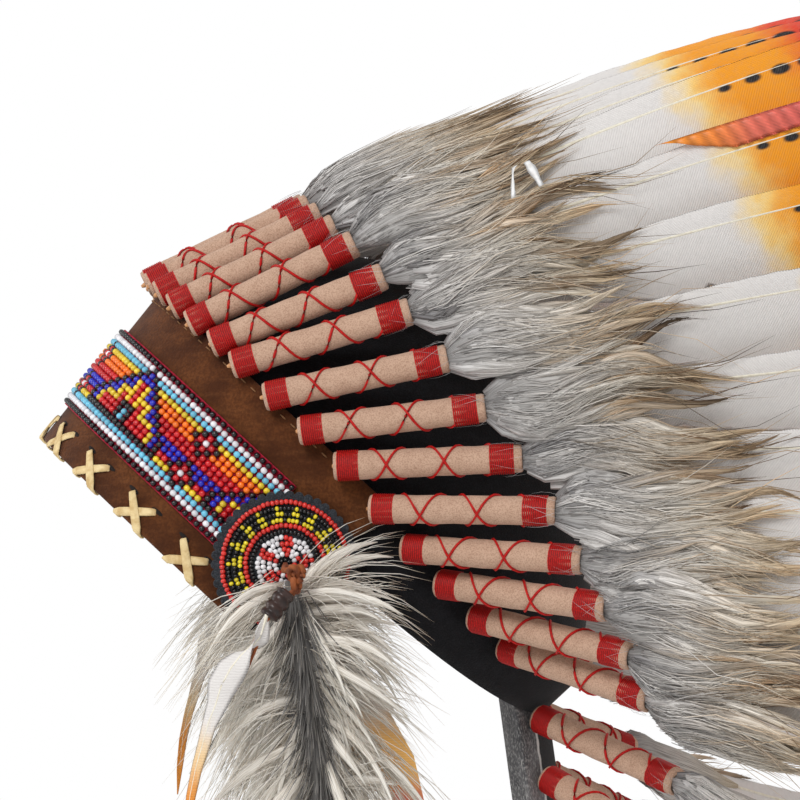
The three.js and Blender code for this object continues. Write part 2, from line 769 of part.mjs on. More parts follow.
// The fur tail: a ten-sided section whose corners stand in and out as locks
function dropTail() {
  const sides = 10;
  const lock = (i) => (i % 2 ? 0.86 : 1);
  const ring = (row) => {
    const middle = dropPoint(row);
    return Array.from({ length: sides }, (_, i) => {
      const turn = (2 * Math.PI * i) / sides;
      return middle.clone().add(new THREE.Vector3(
        TAIL_HALF_WIDTH * row.width * lock(i) * Math.cos(turn),
        TAIL_HALF_DEPTH * row.depth * lock(i) * Math.sin(turn),
        0,
      ));
    });
  };
  const end = TAIL_ROUTE.at(-1);
  const tip = (side, down) => dropPoint({ back: end.back + side * TAIL_FORK, down, out: end.out });
  return loft(TAIL_ROUTE.map(ring), [tip(1, 0.97), tip(-1, 1)]);
}

// Materials

const finish = (color, roughness) => () => (
  new THREE.MeshStandardMaterial({ color, roughness, metalness: 0 })
);
const felt = finish(0x151517, 1);
const suede = finish(0x643719, 0.95);
const beads = finish(0xc83028, 0.3);
const leather = finish(0xe1c88c, 0.8);
const darkLeather = finish(0x3a2016, 0.6);
const backing = finish(0x282a2d, 0.9);
const plume = finish(0xebe8e6, 0.85);
const fur = finish(0xc8c2b8, 1);

function piece(name, geometry, material) {
  const mesh = new THREE.Mesh(geometry, material());
  mesh.name = name;
  return mesh;
}

// A piece on the left and its mirror image on the right
function pair(name, geometry, material) {
  return [LEFT, RIGHT].map((side) => (side === LEFT
    ? piece(`${name}_left`, geometry, material)
    : piece(`${name}_right`, mirrored(geometry), material)));
}

// Everything that is sewn or laced to the cap tilts with it
const cap = new THREE.Group();
cap.rotation.y = tilt;
cap.add(
  piece('felt_cap', joined([feltCap(), napeFlap()]), felt),
  piece('brow_band', browBand(), suede),
  piece('bead_strip', beadStrip(), beads),
  piece('edge_lacing', edgeLacing(), leather),
  ...pair('rosette_backing', rosetteBacking(), backing),
  ...pair('rosette_beads', rosetteBeads(), beads),
  piece('feather_centre', feather(0), plume),
);
for (let place = 1; place <= FEATHERS_EACH_SIDE; place += 1) {
  cap.add(...pair(`feather_${String(place).padStart(2, '0')}`, feather(place), plume));
}

// The drops hang straight down from the rosettes
const drops = new THREE.Group();
drops.add(
  ...pair('drop_tie', strapAlong(TIE_ROUTE, TIE_WIDTH, TIE_THICKNESS), leather),
  ...pair('drop_wrap', dropWrap(), darkLeather),
  ...pair(
    'drop_laces',
    joined(DROP_LACE_ROUTES.map((route) => strapAlong(route, DROP_LACE_WIDTH, DROP_LACE_THICKNESS))),
    darkLeather,
  ),
  ...pair('drop_tail', dropTail(), fur),
  ...pair('drop_feather_curled', vaneAlong(CURLED_FEATHER_ROUTE, CURLED_FEATHER_HALF_WIDTH), plume),
  ...pair('drop_feather_flat', vaneAlong(FLAT_FEATHER_ROUTE, FLAT_FEATHER_HALF_WIDTH), plume),
);

const headdress = new THREE.Group();
headdress.add(cap, drops);

export default headdress;
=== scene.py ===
"""Looks of the feathered headdress: beads, felt, suede, thread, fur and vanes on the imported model.

Lengths are in millimetres until a mesh is made. The cap's frame is pitched back by TILT about its
Y axis; its x runs back along the band, y to the right and z up from the band's lower edge.
"""

import math

import bpy
import numpy as np
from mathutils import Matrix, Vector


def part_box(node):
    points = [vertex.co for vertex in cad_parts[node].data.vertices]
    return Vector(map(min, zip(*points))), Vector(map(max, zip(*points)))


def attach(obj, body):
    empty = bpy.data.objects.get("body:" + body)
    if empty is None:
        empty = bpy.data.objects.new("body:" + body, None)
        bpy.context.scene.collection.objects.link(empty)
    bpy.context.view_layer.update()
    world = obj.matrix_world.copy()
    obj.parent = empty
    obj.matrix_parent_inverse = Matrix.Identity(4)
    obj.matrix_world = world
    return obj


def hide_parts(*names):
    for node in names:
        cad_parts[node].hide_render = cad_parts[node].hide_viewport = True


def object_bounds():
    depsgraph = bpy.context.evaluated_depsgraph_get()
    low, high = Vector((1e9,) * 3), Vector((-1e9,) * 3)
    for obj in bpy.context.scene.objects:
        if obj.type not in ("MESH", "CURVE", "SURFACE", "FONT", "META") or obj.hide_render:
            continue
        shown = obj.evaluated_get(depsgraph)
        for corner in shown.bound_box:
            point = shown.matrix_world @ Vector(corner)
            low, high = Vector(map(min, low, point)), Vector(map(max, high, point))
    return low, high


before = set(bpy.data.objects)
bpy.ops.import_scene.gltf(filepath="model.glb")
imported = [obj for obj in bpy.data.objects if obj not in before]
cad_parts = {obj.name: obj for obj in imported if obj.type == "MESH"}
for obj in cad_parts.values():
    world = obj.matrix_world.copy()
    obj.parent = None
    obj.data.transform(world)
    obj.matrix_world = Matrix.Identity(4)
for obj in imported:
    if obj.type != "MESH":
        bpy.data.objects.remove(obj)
cad_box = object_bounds()

MM = 0.001
SEED = 7
SIDES = ("left", "right")

# The view, in metres: the point looked at, how far off the camera is, how wide the view is there,
# and its turn in degrees
AIM = (0.07028, -0.08, 0.08468)
CAMERA_DISTANCE = 1.5
VIEW_WIDTH = 0.32
CAMERA_TURN = -4
SENSOR_WIDTH = 36
# Strength of the white surround as a light, and the floor
SURROUND = 0.55
FLOOR_HALF_WIDTH = 0.9
FLOOR_MIDDLE = 0.15
FLOOR_GAP = 0.002
# Square lamps: name, place, point that it faces, side in metres and power in watts
LAMPS = (
    ("key", (-0.6, -1.3, 1.0), (0.1, 0, 0.08), 0.6, 14),
    ("front_fill", (-1.2, 0.3, 0.5), (0.1, 0, 0.05), 0.8, 4),
    ("back_rim", (0.9, 1.0, 1.1), (0.1, 0, 0.08), 0.8, 10),
)

# The oval of the head and the band, as in the model
TILT = math.radians(43)
OVAL_FRONT = 101
OVAL_REAR = 130
OVAL_HALF_WIDTH = 80
FLARE = 0.075
BAND_HEIGHT = 76
SUEDE = 2.2
CAP_OFFSET = -2.85
FELT = 2
CROWN = 84
RIM_SIDE = 42
RIM_REAR = 62

# The beaded strip
STRIP_LOW = 17
STRIP_WIDTH = 39
STRIP_OFFSET = 0.65
STRIP_LAP = 12
BEAD_PITCH = 3.0
FLOWER_ALONG = 94

# The rosettes
ROSETTE_SET_BACK = 4.4
ROSETTE_RADIUS = 25.6
BACKING_RADIUS = 28.9
BACKING_THICKNESS = 1.8
SCALLOPS = 46

# The feathers
FEATHERS_EACH_SIDE = 16
NAPE_FEATHERS = 2
WRAP_LENGTH = 75
WRAP_RADIUS = 5.7
TUFT_LENGTH = 92
VANE_LENGTH = 250
BEND = math.radians(14)
LOUVRE = math.radians(26)
FOOT_OFFSET = 6.8
RIBBON_FEATHER = 4
FOLDED_FEATHER = 5
NAPE_STANDOFF = 3.3
NAPE_SPREAD = 0.74
NAPE_FIRST_DROP = 0.04
NAPE_PITCH = 25
FLAP_HALF_WIDTH = 34
FLAP_LENGTH = 62
FLAP_DRIFT = 9

# The feather row: place from the centre, share of the half oval, share of the band's height,
# inset in millimetres, lean and flare in degrees
ROW = np.array([
    (0, 0, 1, 0, 69.5, 0),
    (1, 0.049, 1, 0, 69.5, 1),
    (4, 0.184, 0.985, 0, 69, 5.5),
    (5, 0.23, 0.985, 0, 64.5, 6.5),
    (6, 0.27, 0.976, 0.1, 59.8, 7),
    (9, 0.441, 0.95, 0.5, 45.5, 8),
    (10, 0.505, 0.916, 0.9, 42.7, 15.5),
    (11, 0.568, 0.882, 4.1, 40, 23),
    (12, 0.631, 0.875, 5, 36, 31),
    (14, 0.761, 0.868, 6.4, 25, 41),
    (16, 0.865, 0.79, 6.4, 14, 41),
])


# Camera and light


def camera():
    """A long lens level with the temples, turned four degrees towards the front."""
    turn = math.radians(CAMERA_TURN)
    ahead = np.array([-math.sin(turn), math.cos(turn), 0])
    data = bpy.data.cameras.new("camera")
    data.sensor_width = SENSOR_WIDTH
    data.lens = SENSOR_WIDTH * CAMERA_DISTANCE / VIEW_WIDTH
    data.clip_start = 0.05
    data.dof.use_dof = False
    shot = bpy.data.objects.new("camera", data)
    shot.location = np.array(AIM) - ahead * CAMERA_DISTANCE
    shot.rotation_euler = (math.pi / 2, 0, turn)
    bpy.context.scene.collection.objects.link(shot)
    bpy.context.scene.camera = shot


def soft_light(name, place, aim, size, power):
    """A square lamp at a place in metres, facing the aim."""
    data = bpy.data.lights.new(name, "AREA")
    data.size = size
    data.energy = power
    lamp = bpy.data.objects.new(name, data)
    lamp.location = place
    way = np.array(aim) - np.array(place)
    flat = math.hypot(way[0], way[1])
    lamp.rotation_euler = (math.atan2(flat, -way[2]), 0, math.atan2(way[1], way[0]) - math.pi / 2)
    bpy.context.scene.collection.objects.link(lamp)


def studio():
    """A white surround that lights the object at part of its strength, a pale floor, and a large
    key lamp from the front left with two fills."""
    scene = bpy.context.scene
    scene.view_settings.view_transform = "Standard"
    world = bpy.data.worlds.new("surround")
    world.use_nodes = True
    tree = world.node_tree
    background = tree.nodes["Background"]
    background.inputs["Color"].default_value = (1, 1, 1, 1)
    seen = Value(tree, tree.nodes.new("ShaderNodeLightPath").outputs["Is Camera Ray"])
    put(tree, background.inputs["Strength"], seen * (1 - SURROUND) + SURROUND)
    scene.world = world
    for lamp in LAMPS:
        soft_light(*lamp)
    corners = np.array([(-1, -1, 0), (1, -1, 0), (1, 1, 0), (-1, 1, 0)]) * FLOOR_HALF_WIDTH
    middle = (FLOOR_MIDDLE, 0, cad_box[0][2] - FLOOR_GAP)
    floor = mesh_object("floor", corners + middle, [np.array([(0, 1, 2, 3)])])
    floor.data.materials.append(plain("floor_card", (0.86, 0.86, 0.86), 0.9))


# Shader maths


class Value:
    """A shader socket or a number, on which Python's operators add Math nodes."""

    def __init__(self, tree, socket):
        self.tree = tree
        self.socket = socket

    def math(self, operation, *others):
        node = self.tree.nodes.new("ShaderNodeMath")
        node.operation = operation
        for spot, term in zip(node.inputs, (self, *others)):
            put(self.tree, spot, term)
        return Value(self.tree, node.outputs[0])

    def __add__(self, other):
        return self.math("ADD", other)

    __radd__ = __add__

    def __sub__(self, other):
        return self.math("SUBTRACT", other)

    def __rsub__(self, other):
        return (self * -1).math("ADD", other)

    def __mul__(self, other):
        return self.math("MULTIPLY", other)

    __rmul__ = __mul__

    def __truediv__(self, other):
        return self.math("DIVIDE", other)

    def above(self, other):
        return self.math("GREATER_THAN", other)

    def smooth(self, low, high):
        """0 under low, 1 over high and a soft step between them."""
        node = self.tree.nodes.new("ShaderNodeMapRange")
        node.interpolation_type = "SMOOTHSTEP"
        put(self.tree, node.inputs["Value"], self)
        put(self.tree, node.inputs["From Min"], low)
        put(self.tree, node.inputs["From Max"], high)
        return Value(self.tree, node.outputs["Result"])


def put(tree, spot, term):
    """Links a value into a socket, or sets it to a plain number or colour."""
    if isinstance(term, Value):
        tree.links.new(term.socket, spot)
    else:
        spot.default_value = term


class Finish:
    """A material with one Principled shader, and the methods that its pattern is written with."""

    def __init__(self, name, color, roughness):
        self.material = bpy.data.materials.new(name)
        self.material.use_nodes = True
        self.tree = self.material.node_tree
        self.shader = self.tree.nodes["Principled BSDF"]
        self.set(Base_Color=(*color, 1), Roughness=roughness)

    def set(self, **values):
        for name, term in values.items():
            put(self.tree, self.shader.inputs[name.replace("_", " ")], term)

    def node(self, kind, settings, output, **values):
        """Adds a node: its settings first, then the values and links of its sockets."""
        made = self.tree.nodes.new(kind)
        for name, setting in settings.items():
            setattr(made, name, setting)
        for name, term in values.items():
            put(self.tree, made.inputs[name.replace("_", " ")], term)
        return Value(self.tree, made.outputs[output])

    def place(self):
        """The point of the piece in metres."""
        return self.node("ShaderNodeTexCoord", {}, "Object")

    def attribute(self, name, output="Color"):
        return self.node("ShaderNodeAttribute", {"attribute_name": name}, output)

    def parts_of(self, vector):
        node = self.tree.nodes.new("ShaderNodeSeparateXYZ")
        put(self.tree, node.inputs[0], vector)
        return [Value(self.tree, socket) for socket in node.outputs]

    def noise(self, vector, scale, detail=3.0):
        return self.node("ShaderNodeTexNoise", {}, "Fac", Vector=vector, Scale=scale, Detail=detail)

    def stretched(self, vector, scale):
        """The vector with each of its parts scaled."""
        return self.node("ShaderNodeMapping", {}, "Vector", Vector=vector, Scale=scale)

    def mix(self, share, first, second, blend="MIX"):
        """The first colour where share is 0 and the second, or their blend, where it is 1."""
        made = self.tree.nodes.new("ShaderNodeMix")
        made.data_type = "RGBA"
        made.blend_type = blend
        put(self.tree, made.inputs["Factor"], share)
        for spot, color in ((made.inputs["A"], first), (made.inputs["B"], second)):
            colored = [s for s in made.inputs if s.name == spot.name and s.type == "RGBA"][0]
            put(self.tree, colored, color if isinstance(color, Value) else (*color, 1))
        result = [s for s in made.outputs if s.type == "RGBA"][0]
        return Value(self.tree, result)

    def bump(self, height, depth, strength=1.0):
        """Raises the surface by height times depth in metres."""
        self.set(Normal=self.node(
            "ShaderNodeBump", {}, "Normal", Height=height, Distance=depth, Strength=strength))


def linear(red, green, blue):
    """A colour given as screen values from 0 to 255, as the shader's linear values."""
    return tuple(((value / 255 + 0.055) / 1.055) ** 2.4 for value in (red, green, blue))


def plain(name, color, roughness):
    return Finish(name, color, roughness).material


# Finishes


BARB_WHITE = linear(228, 224, 221)
BARB_BLACK = linear(20, 19, 20)
# Dyes of a vane: where each begins and is full, in centimetres along the quill, and its colour
DYES = (
    (13.3, 15.2, linear(250, 214, 128)),
    (14.4, 16.3, linear(246, 158, 20)),
    (18.2, 20.6, linear(228, 62, 28)),
)
SPOT_PITCH = 1.2
FIRST_SPOT = 15.4


def napped(made, color, gloss, fineness):
    """Ends a felt or a suede: its colour, a faint sheen and a fine nap."""
    made.set(Base_Color=color, Sheen_Weight=0.1, Specular_IOR_Level=gloss)
    made.bump(made.noise(made.place(), fineness, 5), 0.0004, 0.8)
    return made.material


def felt_finish(name, color, fleck):
    """Wool felt: a base colour with fine specks and soft clouds of another, and a fine nap."""
    made = Finish(name, color, 1.0)
    specks = made.noise(made.place(), 1900, 3).smooth(0.42, 0.66)
    clouds = made.noise(made.place(), 200, 3).smooth(0.35, 0.75)
    share = specks * 0.6 + clouds * 0.22
    return napped(made, made.mix(share, color, fleck), 0.2, 1500)


def flap_finish():
    """The nape flap's felt: grey inside and over its side edges, black outside, with pale creases.
    The spot attribute is the share of the way across, the share of the way down, and 1 outside."""
    made = Finish("flap_felt", linear(90, 90, 92), 1.0)
    across, down, outside = made.parts_of(made.attribute("spot", "Vector"))
    hairs = made.noise(made.stretched(made.place(), (1, 1, 0.45)), 1500, 4).smooth(0.46, 0.68)
    clouds = made.noise(made.place(), 60, 3).smooth(0.3, 0.7)
    color = made.mix(clouds, linear(66, 66, 68), linear(112, 111, 112))
    color = made.mix(hairs * (0.45 + down * 0.35), color, linear(184, 182, 180))
    ragged = (made.noise(made.place(), 160, 3) - 0.5) * 0.12
    middle_part = 1 - (across.math("ABSOLUTE") + ragged).smooth(0.6, 0.64)
    color = made.mix(outside * middle_part, color, linear(16, 16, 18))
    for middle in (-0.64, 0.72):
        away = (across + ragged - middle).math("ABSOLUTE")
        color = made.mix(1 - away.smooth(0.01, 0.045), color, linear(206, 204, 200))
    return napped(made, color, 0.2, 1500)


def suede_finish():
    """Brushed brown suede: brush marks and clouds of darker nap over a fine grain."""
    made = Finish("suede", linear(100, 56, 28), 0.95)
    clouds = made.noise(made.place(), 70, 5).smooth(0.32, 0.68)
    marks = made.noise(made.stretched(made.place(), (90, 90, 420)), 1, 4).smooth(0.45, 0.75)
    grain = made.noise(made.place(), 900, 4).smooth(0.35, 0.65)
    color = made.mix(clouds, linear(72, 38, 18), linear(104, 60, 30))
    color = made.mix(marks * 0.3, color, linear(122, 76, 44))
    return napped(made, made.mix(grain * 0.5, color, linear(60, 31, 15)), 0.15, 1100)


def bead_finish():
    """Glass seed beads, glossy, in the colour that each was given."""
    made = Finish("glass_beads", (0.5, 0.5, 0.5), 0.22)
    made.set(Base_Color=made.attribute("tint"), Coat_Weight=0.35, Coat_Roughness=0.12)
    return made.material


def thread_finish(name, color):
    """Waxed thread with a fine twist, times its tint, which holds painted shade between two turns.
    """
    made = Finish(name, color, 0.6)
    share = made.noise(made.place(), 1600, 2).smooth(0.3, 0.7)
    darker = tuple(part * 0.55 for part in color)
    twisted = made.mix(share, color, darker)
    # The tint multiplies in painted shade in the grooves between the turns of a winding
    made.set(
        Base_Color=made.mix(1.0, twisted, made.attribute("tint"), "MULTIPLY"),
        Specular_IOR_Level=0.3,
    )
    return made.material


def leather_finish(name, color, dark, roughness=0.75):
    """Leather with soft darker clouds and a fine grain."""
    made = Finish(name, color, roughness)
    share = made.noise(made.place(), 260, 4).smooth(0.35, 0.7)
    made.set(Base_Color=made.mix(share, color, dark))
    made.bump(made.noise(made.place(), 900, 4), 0.0002, 0.6)
    return made.material


def fur_finish(name, tone_and_gap_shade_color):
    """Fur in the colours that each strand was given. On the under-fur the spot attribute runs along
    the hair and round it, in centimetres, and dark streaks follow it: painted shade between hairs.
    On a single strand they give it one random tone."""
    made = Finish(name, (0.5, 0.5, 0.5), 0.6)
    spot = made.attribute("spot", "Vector")
    # Dark streaks: painted shade between the hairs of a lock or the under-fur, and a random tone on
    # each strand
    strand_tone_and_gap_shade = made.noise(made.stretched(spot, (0.6, 22, 1)), 1, 4).smooth(0.3, 0.62)
    color = made.mix(1 - strand_tone_and_gap_shade, made.attribute("tint"), tone_and_gap_shade_color, "MULTIPLY")
    made.set(Base_Color=color, Specular_IOR_Level=0.3)
    return made.material


def quill_finish():
    """Smooth horn in its own tint, with faint clouds."""
    made = Finish("quill_horn", (0.5, 0.5, 0.5), 0.45)
    clouds = made.noise(made.place(), 400, 3).smooth(0.4, 0.7)
    tint = made.attribute("tint")
    made.set(Base_Color=made.mix(clouds * 0.25, tint, linear(190, 170, 140), "MULTIPLY"))
    return made.material


def vane_finish():
    """Barbs of a feather. The spot attribute holds the distance from the wrap along the quill and
    the distance across from it, both in centimetres, and a number that differs by feather."""
    made = Finish("vane_barbs", BARB_WHITE, 0.7)
    spot = made.attribute("spot", "Vector")
    along, across, own = made.parts_of(spot)
    slant = along - across.math("ABSOLUTE") * 0.35
    # Dye creeps further along some barbs than others, and in a fine grain
    ragged = made.noise(made.stretched(spot, (1.1, 1.1, 9)), 1.2, 3) - 0.5
    grain = made.noise(spot, 60, 2) - 0.5
    reach = slant + ragged * 1.5 + grain * 0.9 + own
    color = BARB_WHITE
    for begin, full, dye in DYES:
        color = made.mix(reach.smooth(begin, full), color, dye)
    color = made.mix((slant + ragged * 0.8 + own).smooth(21.2, 22.2), color, BARB_BLACK)
    # Dark spots beside the quill, larger towards the tip
    slot = ((along + own * 3.1) / SPOT_PITCH).math("FRACT") - 0.5
    size = along.smooth(14.5, 21) * 0.17 + 0.15
    aside = across - 0.07
    away = ((slot * slot * 0.62) + (aside * aside * 1.5)).math("SQRT")
    spots = (1 - (away - size).smooth(-0.07, 0.08)) * along.above(FIRST_SPOT)
    color = made.mix(spots, color, BARB_BLACK)
    # Painted shade: grey in the grooves between barbs, and in soft patches over the vane
    barbs = (across.math("ABSOLUTE") * 0.75 + along).math("MULTIPLY", 55).math("SINE")
    shade = made.noise(spot, 5, 3).smooth(0.35, 0.8)
    color = made.mix((barbs * 0.5 + 0.5) * 0.07 + shade * 0.1, color, linear(150, 146, 145))
    made.set(Base_Color=color, Specular_IOR_Level=0.3)
    made.bump(barbs, 0.00012, 0.5)
    return made.material


def drop_feather_finish(name, bands):
    """A dyed feather: its colours change with height, at (height in mm, softness, colour)."""
    made = Finish(name, BARB_WHITE, 0.65)
    _, _, z = made.parts_of(made.place())
    ragged = (made.noise(made.stretched(made.place(), (1, 1, 0.35)), 500, 3) - 0.5) * 12
    height = z / MM + ragged
    color = BARB_WHITE
    for level, softness, tone in bands:
        dyed = 1 - height.smooth(level - softness, level + softness)
        color = made.mix(dyed, color, linear(*tone))
    # Painted shade: grey in the grooves between barbs
    barbs = (z * 6000 + made.noise(made.place(), 300, 2) * 6).math("SINE")
    color = made.mix((barbs * 0.5 + 0.5) * 0.12, color, linear(140, 130, 120))
    made.set(Base_Color=color, Specular_IOR_Level=0.3)
    made.bump(barbs, 0.0001, 0.5)
    return made.material


# Mesh making


def mesh_object(name, points, face_sets, shade_smooth=False):
    """An object from points in metres and arrays of faces, each array with one face size."""
    mesh = bpy.data.meshes.new(name)
    mesh.vertices.add(len(points))
    mesh.vertices.foreach_set("co", np.ascontiguousarray(points, dtype=np.float32).ravel())
    loops = np.concatenate([faces.ravel() for faces in face_sets])
    sizes = np.concatenate([np.full(len(faces), faces.shape[1]) for faces in face_sets])
    mesh.loops.add(len(loops))
    mesh.loops.foreach_set("vertex_index", loops.astype(np.int32))
    mesh.polygons.add(len(sizes))
    starts = np.concatenate([[0], np.cumsum(sizes)[:-1]])
    mesh.polygons.foreach_set("loop_start", starts.astype(np.int32))
    mesh.polygons.foreach_set("use_smooth", np.full(len(sizes), shade_smooth))
    mesh.update(calc_edges=True)
    made = bpy.data.objects.new(name, mesh)
    bpy.context.scene.collection.objects.link(made)
    return made


class Piece:
    """Gathers the surfaces of one piece, in millimetres in the upright frame."""

    def __init__(self):
        self.points = []
        self.faces = {}
        self.tints = []
        self.spots = []
        self.count = 0

    def add(self, points, face_sets, finish=0, tint=(1, 1, 1), spot=(0, 0, 0)):
        """Adds a surface: its points, faces, finish, and a tint and spot for all or each point."""
        points = points.reshape(-1, 3)
        for faces in face_sets:
            key = (faces.shape[1], finish)
            self.faces.setdefault(key, []).append(faces + self.count)
        self.points.append(points)
        self.tints.append(np.broadcast_to(np.asarray(tint, float), points.shape))
        self.spots.append(np.broadcast_to(np.asarray(spot, float), points.shape))
        self.count += len(points)

    def make(self, name, materials, nodes, mirror=False):
        """The finished object, or its mirror image, standing for the named CAD nodes."""
        points = np.concatenate(self.points) * MM
        keys = sorted(self.faces)
        face_sets = [np.concatenate(self.faces[key]) for key in keys]
        if mirror:
            points = points * (1, -1, 1)
            face_sets = [faces[:, ::-1] for faces in face_sets]
        made = mesh_object(name, points, face_sets, shade_smooth=True)
        finishes = np.concatenate([
            np.full(len(faces), key[1]) for key, faces in zip(keys, face_sets)])
        made.data.polygons.foreach_set("material_index", finishes.astype(np.int32))
        tint = made.data.attributes.new("tint", "FLOAT_COLOR", "POINT")
        tints = np.concatenate(self.tints)
        tint.data.foreach_set("color", np.c_[tints, np.ones(len(tints))].astype(np.float32).ravel())
        spot = made.data.attributes.new("spot", "FLOAT_VECTOR", "POINT")
        spot.data.foreach_set("vector", np.concatenate(self.spots).astype(np.float32).ravel())
        for material in materials:
            made.data.materials.append(material)
        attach(made, "root")
        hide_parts(*nodes)

    def make_pair(self, name, materials, node):
        """The piece on the left and its mirror image on the right, for the nodes of each side."""
        for side in SIDES:
            self.make(
                f"{name}_{side}", materials, [f"{node}_{side}"], mirror=side == "right")


def unit(vectors):
    """Vectors of length one."""
    return vectors / np.linalg.norm(vectors, axis=-1, keepdims=True)


def circle(sides):
    """Angles evenly round a circle."""
    return 2 * np.pi * np.arange(sides) / sides


def joined(*parts):
    """Points from arrays of their three parts."""
    return np.stack(np.broadcast_arrays(*parts), -1)


def from_table(table, share, column=1):
    """A column of a table at a share that its first column gives, between the rows."""
    return np.interp(share, table[:, 0], table[:, column])


def there_and_back(values, back=1):
    """A row of values and then, times back, its inner ones in reverse, as round a flat section."""
    return np.concatenate([values, back * values[..., -2:0:-1]], -1)


def outward(points, face_sets):
    """Turns every face round if the closed surface holds a negative volume."""
    volume = 0.0
    for faces in face_sets:
        first = points[faces[:, 0]]
        for k in range(1, faces.shape[1] - 1):
            cross = np.cross(points[faces[:, k]], points[faces[:, k + 1]])
            volume += np.einsum("ij,ij->", first, cross)
    return face_sets if volume > 0 else [faces[:, ::-1] for faces in face_sets]


def closed_rings(rings):
    """A closed surface through rings (rows, sides, 3): quads between the rows, and one flat face
    on the first and last ring."""
    rows, sides = rings.shape[:2]
    row, side = np.meshgrid(np.arange(rows - 1), np.arange(sides), indexing="ij")
    after = (side + 1) % sides
    quads = np.stack([
        row * sides + side, row * sides + after, (row + 1) * sides + after, (row + 1) * sides + side,
    ], -1).reshape(-1, 4)
    first = np.arange(sides)[None, ::-1]
    last = np.arange(sides)[None] + (rows - 1) * sides
    points = rings.reshape(-1, 3)
    return points, outward(points, [quads, first, last])


def closed_copies(rings):
    """Many closed surfaces of one kind, through rings (count, rows, sides, 3)."""
    points, pattern = closed_rings(rings[0])
    base = np.arange(len(rings))[:, None, None] * len(points)
    return rings, [(faces[None] + base).reshape(-1, faces.shape[1]) for faces in pattern]


def strands(paths, radii, sides=3):
    """Round threads along paths (count, rows, 3) with radii (count, rows): at each row a ring in
    the plane across the path, with the ends closed by one face."""
    tangent = unit(np.gradient(paths, axis=1))
    helper = np.where(np.abs(tangent[..., 2:]) < 0.9, (0.0, 0.0, 1.0), (1.0, 0.0, 0.0))
    first = unit(np.cross(tangent, helper))
    second = np.cross(tangent, first)
    turn = circle(sides)[:, None]
    return closed_copies(paths[:, :, None] + radii[:, :, None, None] * (
        np.cos(turn) * first[:, :, None] + np.sin(turn) * second[:, :, None]))


def add_threads(piece, paths, radii, sides, finish=0, tint=(1, 1, 1)):
    """Round threads along one path (rows, 3) or several."""
    paths = paths.reshape(-1, *paths.shape[-2:])
    piece.add(*strands(paths, np.broadcast_to(radii, paths.shape[:2]), sides), finish, tint)


def upright(points):
    """Points of the cap's frame, pitched back by TILT."""
    x, y, z = np.moveaxis(points, -1, 0)
    return joined(
        x * math.cos(TILT) + z * math.sin(TILT), y, z * math.cos(TILT) - x * math.sin(TILT))


# The oval and the band


def wall(turn, offset, height):
    """Points of the wall: turn is 0 at the brow and pi at the nape, on the left side. The oval is
    two half ellipses that grow with height."""
    grow = offset + FLARE * height
    reach = np.where(np.cos(turn) > 0, OVAL_FRONT, OVAL_REAR) + grow
    return joined(-reach * np.cos(turn), -(OVAL_HALF_WIDTH + grow) * np.sin(turn), height)


TURNS = np.linspace(0, np.pi, 721)


def lengths_round(offset, height):
    """Length along the wall from the brow to each of TURNS."""
    steps = np.linalg.norm(np.diff(wall(TURNS, offset, height), axis=0), axis=1)
    return np.concatenate([[0], np.cumsum(steps)])


BAND_LENGTHS = lengths_round(0, 0)
FOOT_LENGTHS = lengths_round(FOOT_OFFSET, BAND_HEIGHT)
ROSETTE_ALONG = BAND_LENGTHS[360] + ROSETTE_SET_BACK


def on_band(along, offset, height):
    """Points so far along the band from the brow, positive down the left side."""
    turn = np.sign(along) * np.interp(np.abs(along), BAND_LENGTHS, TURNS)
    return wall(turn, offset, height)


# Feathers


def row_at(place):
    """The values of ROW at a place, between the rows."""
    return [from_table(ROW, place, column) for column in range(1, 6)]


def flap_point(side, down, inset=0.0):
    """A point of the nape flap in the upright frame: side is -1 at its left edge."""
    side = np.asarray(side, float)
    turn = np.pi - np.arcsin(-side * FLAP_HALF_WIDTH / OVAL_HALF_WIDTH)
    rim = upright(wall(turn, CAP_OFFSET - FELT / 4, rim_height(turn)))
    hem = upright(wall(np.pi, CAP_OFFSET, RIM_REAR))[2] - FLAP_LENGTH
    return joined(
        rim[..., 0] + FLAP_DRIFT * down - inset,
        side * FLAP_HALF_WIDTH,
        rim[..., 2] + (hem - rim[..., 2]) * down,
    )


def rim_height(turn):
    """Height of the cap's rim: it rises behind the sides as the square of the angle."""
    behind = np.maximum(0, -np.arcsin(np.cos(turn)) / (np.pi / 2))
    return RIM_SIDE + (RIM_REAR - RIM_SIDE) * behind**2


def foot(place):
    """Where a feather's wrap begins, in the upright frame."""
    nape = place - (FEATHERS_EACH_SIDE - NAPE_FEATHERS)
    if nape > 0:
        down = NAPE_FIRST_DROP + (nape - 1) * NAPE_PITCH / FLAP_LENGTH
        seat = flap_point(-NAPE_SPREAD, down)
        edge = flap_point(-1, down) - seat
        return seat + unit(np.array([-edge[1], edge[0], 0])) * NAPE_STANDOFF
    along, height, inset, _, _ = row_at(place)
    turn = np.interp(along * FOOT_LENGTHS[-1], FOOT_LENGTHS, TURNS)
    return upright(wall(turn, FOOT_OFFSET - inset, height * BAND_HEIGHT))


def direction(place):
    """The quill's way in the upright frame, from its lean and its flare."""
    _, _, _, lean, flare = np.radians(row_at(place))
    return upright(np.array([
        math.cos(lean) * math.cos(flare), -math.sin(flare), math.sin(lean) * math.cos(flare)]))


def quill_point(place, distance):
    """A point of a straight quill; a negative place is on the right side."""
    side = (1, -1, 1) if place < 0 else (1, 1, 1)
    return (foot(abs(place)) + direction(abs(place)) * np.asarray(distance, float)[..., None]) * side


def axes(place, distance):
    """Along the quill, back down the row and out from the cap, with the spacing of the row."""
    along = direction(place)
    after = min(place + 1, FEATHERS_EACH_SIDE)
    step = quill_point(after, distance) - quill_point(place - 1, distance)
    back = step - (step @ along)[..., None] * along
    spacing = np.linalg.norm(back, axis=-1) / (after - place + 1)
    back = unit(back)
    return back, np.cross(back, along), spacing


